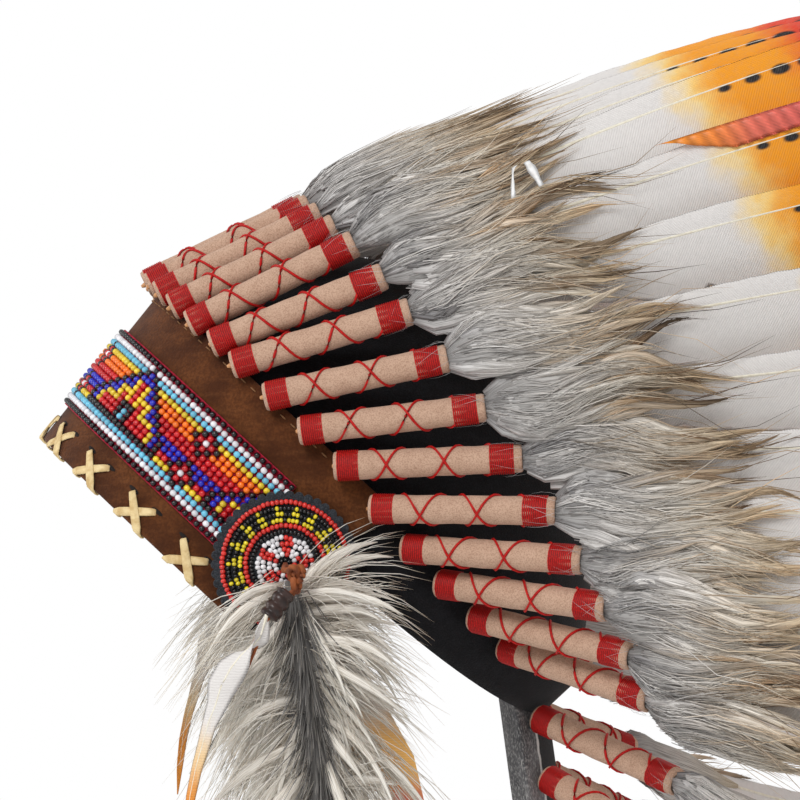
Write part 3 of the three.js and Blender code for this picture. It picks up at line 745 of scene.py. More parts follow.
def on_feather(place, distance, across, rise, turn=0.0):
    """Points of the bent feather: across is back along the row and rise is out from the cap, both
    turned about the quill; past the wrap the quill bends inwards as the square of the distance."""
    distance, across, rise = np.broadcast_arrays(
        np.asarray(distance, float), np.asarray(across, float), np.asarray(rise, float))
    back, out, _ = axes(place, distance)
    bend_way = axes(place, np.array(float(WRAP_LENGTH)))[1]
    sag = BEND * np.maximum(0, distance - WRAP_LENGTH) ** 2 / (2 * VANE_LENGTH)
    over = (across * math.cos(turn) + rise * math.sin(turn))[..., None]
    up = (rise * math.cos(turn) - across * math.sin(turn))[..., None]
    return quill_point(place, distance) - bend_way * sag[..., None] + back * over + out * up


STUB_TAN = linear(206, 150, 100)
SHAFT_CREAM = linear(240, 234, 216)
RIBBON_WHITE = linear(240, 240, 240)
# Undersides of the folded barbs: share of their length, and screen values
SALMON = np.array([
    (0.0, 250, 158, 48), (0.3, 250, 140, 60), (0.5, 240, 118, 96), (1.0, 226, 96, 98)])

# The felt wrap's outline: distance from its end towards its middle, and radius
WRAP_END = np.array([(3.2, 2.2), (3.0, 3.6), (0.6, 4.0), (0.0, 4.7), (0.25, 5.4), (1.1, 5.7)])
FELT_FINISH, THREAD_FINISH, FUR_FINISH, VANE_FINISH, QUILL_FINISH = range(5)
INNER_WINDING = (1.3, 10.2)
OUTER_WINDING = (61.8, 71.8)
THREAD = 0.82


def round_wrap(place, distance, radius, sides):
    """Rings about the quill, with a distance and a radius for each row."""
    turn = circle(sides)
    radius = radius[:, None]
    return on_feather(place, distance[:, None], radius * np.cos(turn), radius * np.sin(turn))


def add_wrap(piece, place, chance):
    """Felt rolled round the quill, hollow at both ends, with a slight unevenness."""
    end = WRAP_END
    middle = np.linspace(4, WRAP_LENGTH - 4, 10)
    swell = 0.14 * np.sin(middle * 0.35 + chance.uniform(0, 6))
    distance = np.concatenate([end[:, 0], middle, WRAP_LENGTH - end[::-1, 0]])
    radius = np.concatenate([end[:, 1], WRAP_RADIUS + swell, end[::-1, 1]])
    piece.add(*closed_rings(round_wrap(place, distance, radius, 18)), FELT_FINISH)


def add_windings(piece, place):
    """Two bands of thread: the radius and the tint rise and fall with a sine over each turn of the
    thread, the tint darkening as painted shade in the grooves between turns; their ends tuck into
    the felt."""
    sides = 12
    for low, high in (INNER_WINDING, OUTER_WINDING):
        turns = round((high - low) / THREAD)
        step = np.arange(turns * 3 + 1)
        arch = np.sin(np.pi * (step % 3) / 3)
        distance = low + (high - low) * step / step[-1]
        radius = WRAP_RADIUS + 0.15 + 0.42 * arch
        radius[[0, -1]] = WRAP_RADIUS - 0.5
        # Painted shade: the tint darkens the thread in the grooves between its turns
        tint = np.repeat(0.22 + 0.9 * arch, sides)[:, None] * np.ones(3)
        rings = round_wrap(place, distance, radius, sides)
        piece.add(*closed_rings(rings), THREAD_FINISH, tint)


def add_crossed_thread(piece, place, chance):
    """Two threads that wind opposite ways from one band to the other and cross in front twice."""
    turns = 2.3
    share = np.linspace(0, 1, 40)
    distance = INNER_WINDING[1] - 0.5 + (OUTER_WINDING[0] - INNER_WINDING[1] + 1) * share
    start = math.pi / 2 + chance.uniform(-0.3, 0.3)
    radius = WRAP_RADIUS + 0.4
    for way in (1, -1):
        turn = start + way * (2 * np.pi * turns * (share - 0.22))
        path = on_feather(place, distance, radius * np.cos(turn), radius * np.sin(turn))
        add_threads(piece, path, THREAD * 0.68, 4, THREAD_FINISH)


def add_quill_stub(piece, place, chance):
    """The quill's cut end, a tapered rod that stands out of the wrap's foot."""
    distance = np.array([-chance.uniform(0.6, 2.2), -0.4, 3.5])
    radius = np.array([0.6, 1.1, 1.1])
    piece.add(*closed_rings(round_wrap(place, distance, radius, 7)), QUILL_FINISH, STUB_TAN)


# Vane: share of its length, and shares of its two widths
VANE_ROWS = np.array([
    (0, 0.1, 0.05), (0.06, 0.2, 0.15), (0.18, 0.45, 0.45), (0.35, 0.8, 0.8), (0.52, 1, 0.97),
    (0.75, 0.95, 0.9), (0.88, 0.8, 0.7), (0.96, 0.45, 0.4), (1, 0.05, 0.12),
])
VANE_LEAD = 9
VANE_TRAIL = 29
CENTRE_HALF_WIDTH = 9
LAST_VANE_ROW = 0.985
VANE_THICKNESS = 0.22
VANE_ARCH = 1.4
BARB_SWEEP = 0.35


def add_vane(piece, place, chance):
    """A closed lens: widths from VANE_ROWS, a gentle arch across, notches where barbs part, and a
    thickness that fades to the edges."""
    lengths = np.linspace(0, LAST_VANE_ROW, 46)
    lead = VANE_LEAD if place else CENTRE_HALF_WIDTH
    trail = VANE_TRAIL if place else CENTRE_HALF_WIDTH
    front = lead * from_table(VANE_ROWS, lengths)
    rear = trail * from_table(VANE_ROWS, lengths, 2)
    for spot in chance.uniform(0.25, 0.97, 5):
        rear = rear * (1 - 0.12 * np.exp(-(((lengths - spot) / 0.008) ** 2)))
    front = front * (1 + 0.02 * np.sin(lengths * 140 + chance.uniform(0, 6)))
    rear = rear * (1 + 0.02 * np.sin(lengths * 110 + chance.uniform(0, 6)))
    half = np.sin(np.linspace(-np.pi / 2, np.pi / 2, 9))
    across = there_and_back(np.where(half < 0, half * front[:, None], half * rear[:, None]))
    thick = VANE_THICKNESS * there_and_back(np.cos(half * 1.5), -1)
    arch = VANE_ARCH * (1 - there_and_back(half) ** 2)
    ripple = 0.25 * np.sin(lengths * 60 + chance.uniform(0, 6))[:, None] * np.abs(across) / 12
    rise = arch * np.minimum(1, lengths * 6)[:, None] + thick + ripple
    distance = WRAP_LENGTH + VANE_LENGTH * lengths[:, None]
    sweep = np.abs(across) * BARB_SWEEP * (lengths[:, None] > 0.05)
    distance = np.minimum(distance + sweep, WRAP_LENGTH + VANE_LENGTH)
    points = on_feather(place, distance, across, rise, LOUVRE if place else 0.0)
    spot = joined((distance - WRAP_LENGTH) / 10, across / 10, chance.uniform(-0.7, 0.7))
    piece.add(*closed_rings(points), VANE_FINISH, spot=spot.reshape(-1, 3))


def add_rachis(piece, place):
    """The shaft: a tapered rod on the vane's outer face."""
    distance = np.linspace(WRAP_LENGTH - 2, WRAP_LENGTH + VANE_LENGTH * 0.97, 22)
    share = (distance - WRAP_LENGTH) / VANE_LENGTH
    path = on_feather(place, distance, 0, 1.35 * np.clip(share * 6, 0, 1))
    radius = np.interp(share, [0, 0.4, 1], [1.3, 0.75, 0.25])
    add_threads(piece, path, radius, 5, QUILL_FINISH, SHAFT_CREAM)


# Fur colours from the wrap outwards: share of the tuft's reach, and screen values
PALE_FUR = np.array([
    (0.0, 184, 182, 181), (0.12, 218, 215, 212), (0.36, 253, 248, 242), (0.66, 255, 247, 232),
    (0.84, 252, 230, 196), (1.0, 224, 190, 150),
])
DARK_FUR = np.array([
    (0.0, 138, 137, 139), (0.25, 186, 182, 180), (0.48, 226, 210, 190), (0.66, 212, 174, 130),
    (0.82, 126, 90, 62), (1.0, 34, 26, 22),
])
# Strands of the widest tuft, locks of every tuft, and their lengths and half widths
STRANDS = 505
LOCKS = 36
LOCK_LENGTHS = (34, 60)
LOCK_HALF_WIDTHS = (1.8, 3.4)
LOCK_SECTION = np.array([(-1, 0), (-0.5, 0.3), (0.5, 0.3), (1, 0), (0.5, -0.3), (-0.5, -0.3)])
HAIR_ROWS = np.linspace(0, 1, 5)
STRAY_SHARE = 0.07
LOOSE_HAIRS = 7
LOCK_ROWS = np.linspace(0, 1, 7)
BRIGHTEST = 0.93
TUFT_WAVE = 3.0
HALF_WIDTH_MOST = 13.5
# How the tuft fills out: share of its length, its width and its height
FILL = np.array([
    (-0.03, 0.3, 0.3), (0.0, 0.36, 0.4), (0.07, 0.78, 0.75), (0.18, 1, 1), (0.55, 0.95, 0.85),
    (0.85, 0.7, 0.5), (1.3, 0.45, 0.32),
])


def tones(table, share):
    """Linear colours at shares of a strand, between the rows of a table of screen values."""
    screen = np.stack([from_table(table, share, column) for column in (1, 2, 3)], -1)
    return (screen / 255) ** 2.2


def held_in(tint):
    """Colours brought down in all their parts alike, so that none is over BRIGHTEST."""
    return tint / np.maximum(1, tint.max(axis=-1, keepdims=True) / BRIGHTEST)


def tuft_half_width(place):
    """A little over half of the room between two quills, within a limit."""
    _, _, spacing = axes(place, np.array(WRAP_LENGTH + TUFT_LENGTH * 0.5))
    return min(HALF_WIDTH_MOST, 0.55 * float(spacing) + 2)


def add_hairs(piece, paths, width, tint, chance, finish):
    """Strands along paths (count, rows, 3), widest near the root and pointed, tinted by row."""
    count, rows = paths.shape[:2]
    taper = np.interp(np.linspace(0, 1, rows), [0, 0.3, 0.75, 1], [0.8, 1, 0.7, 0.12])
    radii = width * taper[None] * chance.uniform(0.75, 1.35, count)[:, None]
    rings, faces = strands(paths, radii)
    tint = np.repeat(tint[:, :, None], rings.shape[2], axis=2).reshape(-1, 3)
    spot = np.zeros(rings.shape)
    spot[..., 1] = chance.uniform(0, 30, count)[:, None, None]
    piece.add(rings, faces, finish, tint, spot.reshape(-1, 3))


def add_locks(piece, paths, half_width, tint, chance, finish, out):
    """Combed locks along paths (count, rows, 3): a lens of six points across each, its width
    swelling and then running to a point, its broad side facing out."""
    count, rows = paths.shape[:2]
    taper = np.interp(np.linspace(0, 1, rows), [0, 0.2, 0.6, 1], [0.6, 1, 0.75, 0.06])
    size = (half_width[:, None] * taper)[:, :, None, None]
    tangent = unit(np.gradient(paths, axis=1))
    edge = unit(np.cross(out, tangent))
    face = np.cross(tangent, edge)
    section = LOCK_SECTION
    rings = paths[:, :, None] + size * (
        section[:, :1] * edge[:, :, None] + section[:, 1:] * face[:, :, None])
    spot = np.zeros(rings.shape)
    spot[..., 0] = (np.linalg.norm(paths - paths[:, :1], axis=-1) / 10)[:, :, None]
    spot[..., 1] = section[:, 0] * half_width[:, None, None] / 10
    spot[..., 1] += chance.uniform(0, 30, count)[:, None, None]
    tint = np.repeat(tint[:, :, None], len(section), axis=2).reshape(-1, 3)
    piece.add(*closed_copies(rings), finish, tint, spot.reshape(-1, 3))


def add_tuft(piece, place, chance):
    """Fur in locks: a lock starts on the tuft's body and lies along the quill in a slow wave, as a
    sine of the distance, and its strands draw together towards its tip. A few strands stray."""
    rows = HAIR_ROWS
    half_width = tuft_half_width(place)
    count = int(STRANDS * half_width / HALF_WIDTH_MOST)
    side = np.linspace(-1, 1, LOCKS) + chance.normal(0, 0.04, LOCKS)
    start = chance.permutation(np.linspace(0, 1, LOCKS) ** 1.3 * 0.53 - 0.03)
    length = chance.uniform(*LOCK_LENGTHS, LOCKS)
    drift = chance.normal(0, 3.0, LOCKS)
    swing = chance.uniform(0.8, 2.8, LOCKS)
    phase = chance.uniform(0, 2 * np.pi, LOCKS)
    lift = chance.normal(0.3, 1.6, LOCKS)
    dark = chance.uniform(0, 1, LOCKS) ** 2.2
    light = chance.uniform(0.8, 1.32, LOCKS)

    def lie(lock, beyond, along, height, apart=0.0, above=0.0):
        """Paths on the given locks, at distances beyond the wrap."""
        share = beyond / TUFT_LENGTH
        together = TUFT_WAVE * np.sin(beyond / 14 + place * 2.4)
        wave = together + swing[lock][:, None] * np.sin(beyond / 8 + phase[lock][:, None])
        edge = np.clip(side[lock], -1, 1)
        across = (edge * half_width)[:, None] * from_table(FILL, share)
        across = across + drift[lock][:, None] * along**1.5 + apart
        across = across + wave * np.interp(share, [0, 0.2], [0, 1])
        height = 3.5 + 7 * np.sqrt(1 - edge**2) * height
        rise = height[:, None] * from_table(FILL, share, 2)
        return on_feather(
            place, WRAP_LENGTH + beyond, across, rise + lift[lock][:, None] * along**2 + above)

    def tinted(lock, tone, brightness):
        """Colours between the pale and the dark table, by how dark each lock is."""
        tone = np.clip(tone, 0, 1)
        tint = tones(PALE_FUR, tone) * (1 - dark[lock][:, None, None])
        tint = tint + tones(DARK_FUR, tone) * dark[lock][:, None, None]
        return held_in(tint * (light[lock] * brightness)[:, None, None])

    lock = np.arange(LOCKS)
    root = np.maximum(TUFT_LENGTH * start, 0.4)
    beyond = root[:, None] + length[:, None] * LOCK_ROWS
    paths = lie(lock, beyond, LOCK_ROWS, np.full(LOCKS, 0.72))
    out = axes(place, np.array(float(WRAP_LENGTH)))[1]
    half_widths = chance.uniform(*LOCK_HALF_WIDTHS, LOCKS)
    tint = tinted(lock, beyond / TUFT_LENGTH, 0.9)
    add_locks(piece, paths, half_widths, tint, chance, FUR_FINISH, out)

    lock = chance.integers(0, LOCKS, count)
    stray = (chance.uniform(0, 1, count) < STRAY_SHARE)[:, None]
    reach = length[lock] * chance.uniform(0.7, 1.1, count) * (1 + 0.45 * stray[:, 0])
    root = TUFT_LENGTH * start[lock] + chance.uniform(-3, 8, count)
    beyond = np.maximum(root, 0.2)[:, None] + reach[:, None] * rows
    apart = (1 - 0.8 * rows) * chance.normal(0, 1.7, count)[:, None]
    apart = apart * np.interp(beyond / TUFT_LENGTH, [0, 0.1], [0.3, 1])
    apart = apart + stray * chance.normal(0, 9, count)[:, None] * rows**2
    paths = lie(lock, beyond, rows, chance.uniform(0.6, 1.05, count), apart, stray * 2.5 * rows)
    tone = beyond / TUFT_LENGTH + chance.normal(0, 0.06, count)[:, None]
    tint = tinted(lock, tone, chance.uniform(0.8, 1.2, count))
    add_hairs(piece, paths, 0.22, tint, chance, FUR_FINISH)


def add_loose_hairs(piece, place, chance):
    """Pale hairs that lie back over the outer winding, each on a slant round the wrap."""
    rows = HAIR_ROWS
    turn = chance.uniform(0.1, np.pi - 0.1, LOOSE_HAIRS)[:, None]
    turn = turn + chance.normal(0, 0.8, LOOSE_HAIRS)[:, None] * rows
    back = chance.uniform(6, 17, LOOSE_HAIRS)[:, None] * rows
    arch = np.sin(np.pi * rows) * chance.uniform(0, 1, LOOSE_HAIRS)[:, None]
    radius = WRAP_RADIUS + 0.9 + 0.9 * arch
    paths = on_feather(
        place, WRAP_LENGTH + 1 - back, radius * np.cos(turn), radius * np.sin(turn))
    tint = np.full(paths.shape, 0.55)
    add_hairs(piece, paths, 0.06, tint, chance, FUR_FINISH)


def add_tuft_body(piece, place):
    """The fur's inner mass: an ellipse across the quill that swells and tapers."""
    sides = 16
    share = np.array([-0.03, 0.0, 0.04, 0.1, 0.18, 0.28, 0.4, 0.52, 0.64, 0.76, 0.86])
    half_width = tuft_half_width(place) * 0.86
    wide = from_table(FILL, share) * np.interp(share, [0.5, 0.86], [1, 0.12])
    deep = from_table(FILL, share, 2) * np.interp(share, [0.4, 0.86], [1, 0.1])
    turn = circle(sides)
    across = (half_width * wide)[:, None] * np.cos(turn)
    rise = (3.8 * deep)[:, None] + (5.6 * deep)[:, None] * np.sin(turn)
    beyond = (TUFT_LENGTH * share)[:, None]
    rings = on_feather(place, WRAP_LENGTH + beyond, across, rise)
    spot = joined(beyond / 10, 1.1 * np.abs(turn - np.pi), float(place))
    tint = tones(PALE_FUR, np.repeat(share, sides)) * 0.6
    piece.add(*closed_rings(rings), FUR_FINISH, tint, spot.reshape(-1, 3))


# The two ribbons: where each begins beyond the wrap, how far it drifts, and its turn in radians
RIBBONS = ((71, -6, 1.0), (76, 1, 0.2))
RIBBON_LENGTH = 15
RIBBON_BACK = 12.4
RIBBON_RISE = 16
RIBBON_HALF_WIDTH = 1.9
RIBBON_HALF_THICKNESS = 0.12


def add_ribbons(piece, place):
    """Two short white ribbons across the fur: a flat strip along an arch, whose width turns from
    the quill's way towards the arch's own middle."""
    share = np.linspace(0, 1, 12)
    quill_way = direction(place)
    arch = np.sin(np.pi * share)
    half_width = RIBBON_HALF_WIDTH * np.sin(np.pi * np.clip(share, 0.25, 0.8))
    for begin, drift, turned in RIBBONS:
        path = on_feather(
            place, WRAP_LENGTH + begin + drift * share, RIBBON_LENGTH * share + RIBBON_BACK,
            RIBBON_RISE + 2.5 * arch)
        along = unit(np.gradient(path, axis=0))
        turn = (turned * arch)[:, None]
        edge = quill_way * np.cos(turn) + np.cross(along, quill_way) * np.sin(turn)
        face = np.cross(edge, along) * RIBBON_HALF_THICKNESS
        wide = edge * half_width[:, None]
        rings = np.stack([path + wide, path + face, path - wide, path - face], 1)
        piece.add(*closed_rings(rings), QUILL_FINISH, RIBBON_WHITE)


# The folded barbs: their front edge, where they begin beyond the wrap, length, width and slant
FOLD_FRONT = -12.5
FOLD_BEGIN = 119
FOLD_LENGTH = 80
FOLD_WIDTH = 10.5
FOLD_SLANT = 7


def add_folded_barbs(piece, place):
    """A lock of the barbs before it, folded out over the vane's front edge and showing their salmon
    undersides in slanting pleats: the rise follows a sine of the length less the width, and the
    tint follows it as painted light, lighter on each crest and darker in each trough."""
    share = np.linspace(0, 1, 84)[:, None]
    half = np.linspace(0, 1, 7)
    width = FOLD_WIDTH * np.interp(share, [0, 0.1, 0.3, 0.85, 1], [0, 0.45, 1, 0.9, 0.1])
    there = there_and_back(half)
    across = FOLD_FRONT + width * there
    distance = WRAP_LENGTH + FOLD_BEGIN + FOLD_LENGTH * share + FOLD_SLANT * there
    pleat = np.sin(distance * 1.15 - across * 0.3)
    thick = 0.15 * there_and_back(np.ones(len(half)), -1)
    rise = 2.2 + 1.2 * there * (1 - there) * 4 + 0.45 * pleat + thick
    # Painted light: the tint is lighter on the pleats' crests and darker in their troughs
    tint = tones(SALMON, np.clip(share + 0.1 * there, 0, 1)) * (0.85 + 0.3 * pleat[..., None] ** 5)
    rings = on_feather(place, distance, across, rise, LOUVRE)
    piece.add(*closed_rings(rings), QUILL_FINISH, tint.reshape(-1, 3))


def feathers(materials):
    """The centre feather, and each feather of the left side with its mirror image."""
    for place in range(FEATHERS_EACH_SIDE + 1):
        chance = np.random.default_rng(SEED + place)
        piece = Piece()
        add_wrap(piece, place, chance)
        add_windings(piece, place)
        add_crossed_thread(piece, place, chance)
        add_quill_stub(piece, place, chance)
        add_vane(piece, place, chance)
        add_rachis(piece, place)
        add_tuft_body(piece, place)
        add_tuft(piece, place, chance)
        add_loose_hairs(piece, place, chance)
        if place == RIBBON_FEATHER:
            add_ribbons(piece, place)
        if place == FOLDED_FEATHER:
            add_folded_barbs(piece, place)
        if place == 0:
            piece.make("centre_feather", materials, ["feather_centre"])
            continue
        node = f"feather_{place:02d}"
        piece.make_pair(f"dressed_{node}", materials, node)


# Beads


def bead_rings():
    """One bead about its z axis, of unit radius: four rings of a rounded barrel."""
    turn = circle(6)
    radius = np.array([0.55, 1.0, 1.0, 0.55])[:, None]
    height = np.array([-1.0, -0.45, 0.45, 1.0])[:, None]
    return joined(radius * np.cos(turn), radius * np.sin(turn), height)


def add_beads(piece, centres, axle, outer, radius, half_length, tints):
    """A bead at each centre, its hole along axle and its round side facing outer."""
    rings = bead_rings()
    third = np.cross(axle, outer)
    points = centres[:, None, None] + (
        rings[None, :, :, 0, None] * outer[:, None, None] * radius
        + rings[None, :, :, 1, None] * third[:, None, None] * radius
        + rings[None, :, :, 2, None] * axle[:, None, None] * half_length)
    piece.add(*closed_copies(points), 0, np.repeat(tints, rings[..., 0].size, axis=0))


BEAD_COLORS = {
    "k": linear(14, 12, 16), "w": linear(236, 234, 238), "c": linear(110, 195, 225),
    "y": linear(238, 205, 45), "o": linear(250, 120, 20), "r": linear(205, 20, 28),
    "b": linear(28, 38, 185),
}

# The strip's pattern, row by row from the top: from the flower's column on the left to the
# mountain's peak on the right. It is mirrored at both.
STRIP_CHART = (
    "kkkkkkkkkkkkkk",
    "wwwwwwwwwwwwwk",
    "kccccccccccckb",
    "rkyyyyyyyyykbb",
    "wrkoooooookbyr",
    "rkoooooookbbyr",
    "krrrrrrrkbyyyr",
    "rrrrrrrkbbyryr",
    "kbbbbbkbyyyrkk",
    "rkbbbkbyrrrrkc",
    "wrkrrkbyrrrrkc",
    "rkyyykkkkkkkkk",
    "kccccccccccccc",
    "wwwwwwwwwwwwww",
    "kkkkkkkkkkkkkk",
)
STRIP_REACH = ROSETTE_ALONG - BACKING_RADIUS + STRIP_LAP
BEAD_STANDOFF = 1.35
# Beads are this share of the room that they have along the band and up it
BEAD_FILL = (0.98, 0.92)
DARK_BEAD = 0.86


def strip_beads(materials):
    """Loomed beads round the band, in 15 rows on a thin woven ground, with a thread along each
    edge and crimson warps between the rows."""
    piece = Piece()
    half_columns = int(STRIP_REACH / BEAD_PITCH)
    along = np.arange(-half_columns, half_columns + 1) * BEAD_PITCH
    turn_at = len(STRIP_CHART[0]) - 1
    column = np.round((FLOWER_ALONG - np.abs(along)) / BEAD_PITCH).astype(int)
    charted = np.abs((column + turn_at) % (2 * turn_at) - turn_at)
    step = STRIP_WIDTH / len(STRIP_CHART)
    chance = np.random.default_rng(SEED)
    for row, line in enumerate(STRIP_CHART):
        height = STRIP_LOW + STRIP_WIDTH - step * (row + 0.5)
        size = DARK_BEAD if row in (0, len(STRIP_CHART) - 1) else 1.0
        offset = STRIP_OFFSET + BEAD_STANDOFF + chance.normal(0, 0.06, len(along))
        centres = upright(on_band(along + chance.normal(0, 0.1, len(along)), offset, height))
        above = upright(on_band(along, offset, height + 1.0))
        further = upright(on_band(along, offset + 1.0, height))
        axle = unit(above - centres)
        outer = unit(further - centres)
        outer = unit(outer - (outer * axle).sum(-1, keepdims=True) * axle)
        tints = np.array([BEAD_COLORS[line[at]] for at in charted])
        tints = tints * chance.uniform(0.78, 1.12, (len(along), 1))
        radius = BEAD_PITCH / 2 * BEAD_FILL[0] * size
        half_length = step / 2 * BEAD_FILL[1] * size
        add_beads(piece, centres, axle, outer, radius, half_length, tints)
    rows = np.linspace(-STRIP_REACH, STRIP_REACH, 90)
    back, front = STRIP_OFFSET, STRIP_OFFSET + 0.5
    section = [(back, 0.2), (front, 0), (front, STRIP_WIDTH), (back, STRIP_WIDTH - 0.2)]
    rings = np.stack([
        upright(on_band(rows, offset, STRIP_LOW + height)) for offset, height in section], 1)
    piece.add(*closed_rings(rings), 1)
    edge = np.linspace(-STRIP_REACH, STRIP_REACH, 176)
    offset = STRIP_OFFSET + 0.8 + 0.35 * np.sin(edge * np.pi / BEAD_PITCH)
    for line in range(len(STRIP_CHART) + 1):
        path = upright(on_band(edge, offset, STRIP_LOW + line * step))
        rim = line in (0, len(STRIP_CHART))
        add_threads(piece, path, 0.42 if rim else 0.2, 3, 1)
    piece.make("loomed_strip", materials, ["bead_strip"])


# Rosette rings: radius in millimetres and its pattern
ROSETTE_RINGS = (
    (2.0, "black"), (4.2, "flower"), (6.4, "flower"), (8.6, "flower"), (10.9, "flower"),
    (13.4, "black"), (15.7, "red"), (17.9, "points"), (20.2, "points"), (22.6, "points"),
    (25.0, "red"),
)
# The two patterns: colours of the figure and of the ground, repeats, and its turn in degrees
ROSETTE_PATTERNS = {"flower": ("red", "white", 5, -8), "points": ("yellow", "black", 18, 8)}
# Half the width of a petal or a point, by the radius of its ring
FIGURE_HALF_WIDTHS = {4.2: 1.0, 6.4: 2.2, 8.6: 2.6, 10.9: 1.5, 17.9: 2.3, 20.2: 1.6, 22.6: 0.75}
ROSETTE_COLORS = {
    "red": linear(214, 48, 40), "white": linear(236, 234, 236), "black": linear(16, 14, 16),
    "yellow": linear(232, 212, 40),
}
ROSETTE_BEAD_PITCH = 1.85
ROSETTE_BEAD_RADIUS = 1.16
ROSETTE_BEAD_HALF_LENGTH = 0.88
DOME = 1.5
# The felt under the beads: radius and height of its rings
ROSETTE_BED = ((ROSETTE_RADIUS - 0.6, -2.3), (ROSETTE_RADIUS - 0.3, -1.4), (12, 0.1), (1, 0.4))


def rosette_tints(radius, kind, turn):
    """Colours round one ring, turn being the angle from straight up."""
    if kind not in ROSETTE_PATTERNS:
        return np.tile(ROSETTE_COLORS[kind], (len(turn), 1))
    figure, ground, repeats, begin = ROSETTE_PATTERNS[kind]
    apart = 2 * np.pi / repeats
    off = np.abs((turn - math.radians(begin) + apart / 2) % apart - apart / 2) * radius
    within = (off < FIGURE_HALF_WIDTHS[radius])[:, None]
    return np.where(within, ROSETTE_COLORS[figure], ROSETTE_COLORS[ground])


def middle_of(node):
    """Middle of a CAD node's box."""
    low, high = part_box(node)
    return (np.array(low) + np.array(high)) / 2 / MM


def rosette_frame(node):
    """Middle of a disc on the left side in the upright frame, with the axes that point forwards,
    up the band and out."""
    slope = math.atan(FLARE)
    out = upright(np.array([0, -math.cos(slope), -math.sin(slope)]))
    up = upright(np.array([0, -math.sin(slope), math.cos(slope)]))
    return middle_of(node), np.cross(out, up), up, out


def rosette_backings(material):
    """A felt disc with a scalloped edge: its radius follows the size of a sine."""
    piece = Piece()
    middle, right, up, out = rosette_frame("rosette_backing_left")
    turn = np.linspace(0, 2 * np.pi, SCALLOPS * 6, endpoint=False)
    radius = BACKING_RADIUS - 0.8 + 1.4 * np.abs(np.sin(turn * SCALLOPS / 2)) ** 0.7
    ring = np.cos(turn)[:, None] * right + np.sin(turn)[:, None] * up
    half = BACKING_THICKNESS / 2
    profile = (
        (0.1, -half), (0.985, -half), (1, 0.3 - half), (1, half - 0.3), (0.99, half), (0.1, half))
    rings = np.array([
        middle + out * lift + (radius * share)[:, None] * ring for share, lift in profile])
    piece.add(*closed_rings(rings))
    piece.make_pair("scalloped_backing", [material], "rosette_backing")


def rosette_beads(materials):
    """Beads in rings on a slightly domed bed."""
    piece = Piece()
    middle, right, up, out = rosette_frame("rosette_beads_left")
    chance = np.random.default_rng(SEED + 50)
    zero = math.atan2(right[2], up[2])
    for radius, kind in ROSETTE_RINGS:
        size = DARK_BEAD if kind in ("black", "points") else 1.0
        count = max(6, round(2 * np.pi * radius / (ROSETTE_BEAD_PITCH * size)))
        turn = circle(count) + chance.uniform(0, 1)
        way = np.sin(turn + zero)[:, None] * right + np.cos(turn + zero)[:, None] * up
        dome = DOME * (1 - (radius / ROSETTE_RADIUS) ** 2)
        uneven = chance.normal(0, 0.28 if kind == "flower" else 0.1, (count, 1))
        centres = middle + way * (radius + uneven) + out * (dome - 0.5)
        tints = rosette_tints(radius, kind, turn) * chance.uniform(0.8, 1.15, (count, 1))
        add_beads(
            piece, centres, np.cross(out, way), np.tile(out, (count, 1)),
            ROSETTE_BEAD_RADIUS * size, ROSETTE_BEAD_HALF_LENGTH * size, tints)
    turn = circle(48)[:, None]
    ring = np.cos(turn) * right + np.sin(turn) * up
    rings = np.stack([middle + out * lift + radius * ring for radius, lift in ROSETTE_BED])
    piece.add(*closed_rings(rings), 1)
    piece.make_pair("beaded_rosette", materials, "rosette_beads")


# Soft cap and band

# Fullness of the crown, thickness of the flap, and how far the band's ends pass the rosette's
# middle at its foot and at its top
CROWN_POWER = 2.9
FLAP_FELT = 1.5
BAND_ENDS = (-4, 18)
# Stitches each side of the brow, their pitch, and how far they are below the band's top edge
BAND_STITCHES = 24
STITCH_PITCH = 5.4
STITCH_DROP = 3


def cap_and_flap(materials):
    """The felt dome with its rim, and the flap that hangs from it at the nape."""
    piece = Piece()
    turn = np.linspace(-np.pi, np.pi, 96, endpoint=False)
    rim = rim_height(turn)

    def surface(inset):
        """Rings up the wall, and then over a crown whose height falls with a power of its width."""
        walls = [wall(turn, CAP_OFFSET - inset, rim + (BAND_HEIGHT - rim) * share)
                 for share in np.linspace(0, 1, 6)]
        x, y, _ = wall(turn, CAP_OFFSET - inset, BAND_HEIGHT).T
        crown = [joined(x * share, y * share,
                        BAND_HEIGHT + (CROWN - inset) * (1 - share**CROWN_POWER))
                 for share in np.cos(np.linspace(0.12, 1.5, 14))]
        return walls + crown

    rings = np.array(surface(FELT)[::-1] + surface(0.0))
    piece.add(*closed_rings(upright(rings)))
    across = np.linspace(-1, 1, 25)
    down = np.linspace(-0.04, 1, 16)
    crease = 0.8 * np.sin(across * 9) * np.abs(across)
    rings = np.array([
        np.concatenate([flap_point(across, step, crease * step),
                        flap_point(across, step, FLAP_FELT + crease * step)[::-1]])
        for step in down])
    spot = np.zeros(rings.shape)
    spot[..., 0] = np.concatenate([across, across[::-1]])
    spot[..., 1] = down[:, None]
    spot[:, :len(across), 2] = 1
    piece.add(*closed_rings(rings), 1, spot=spot.reshape(-1, 3))
    piece.make("soft_cap", materials, ["felt_cap"])


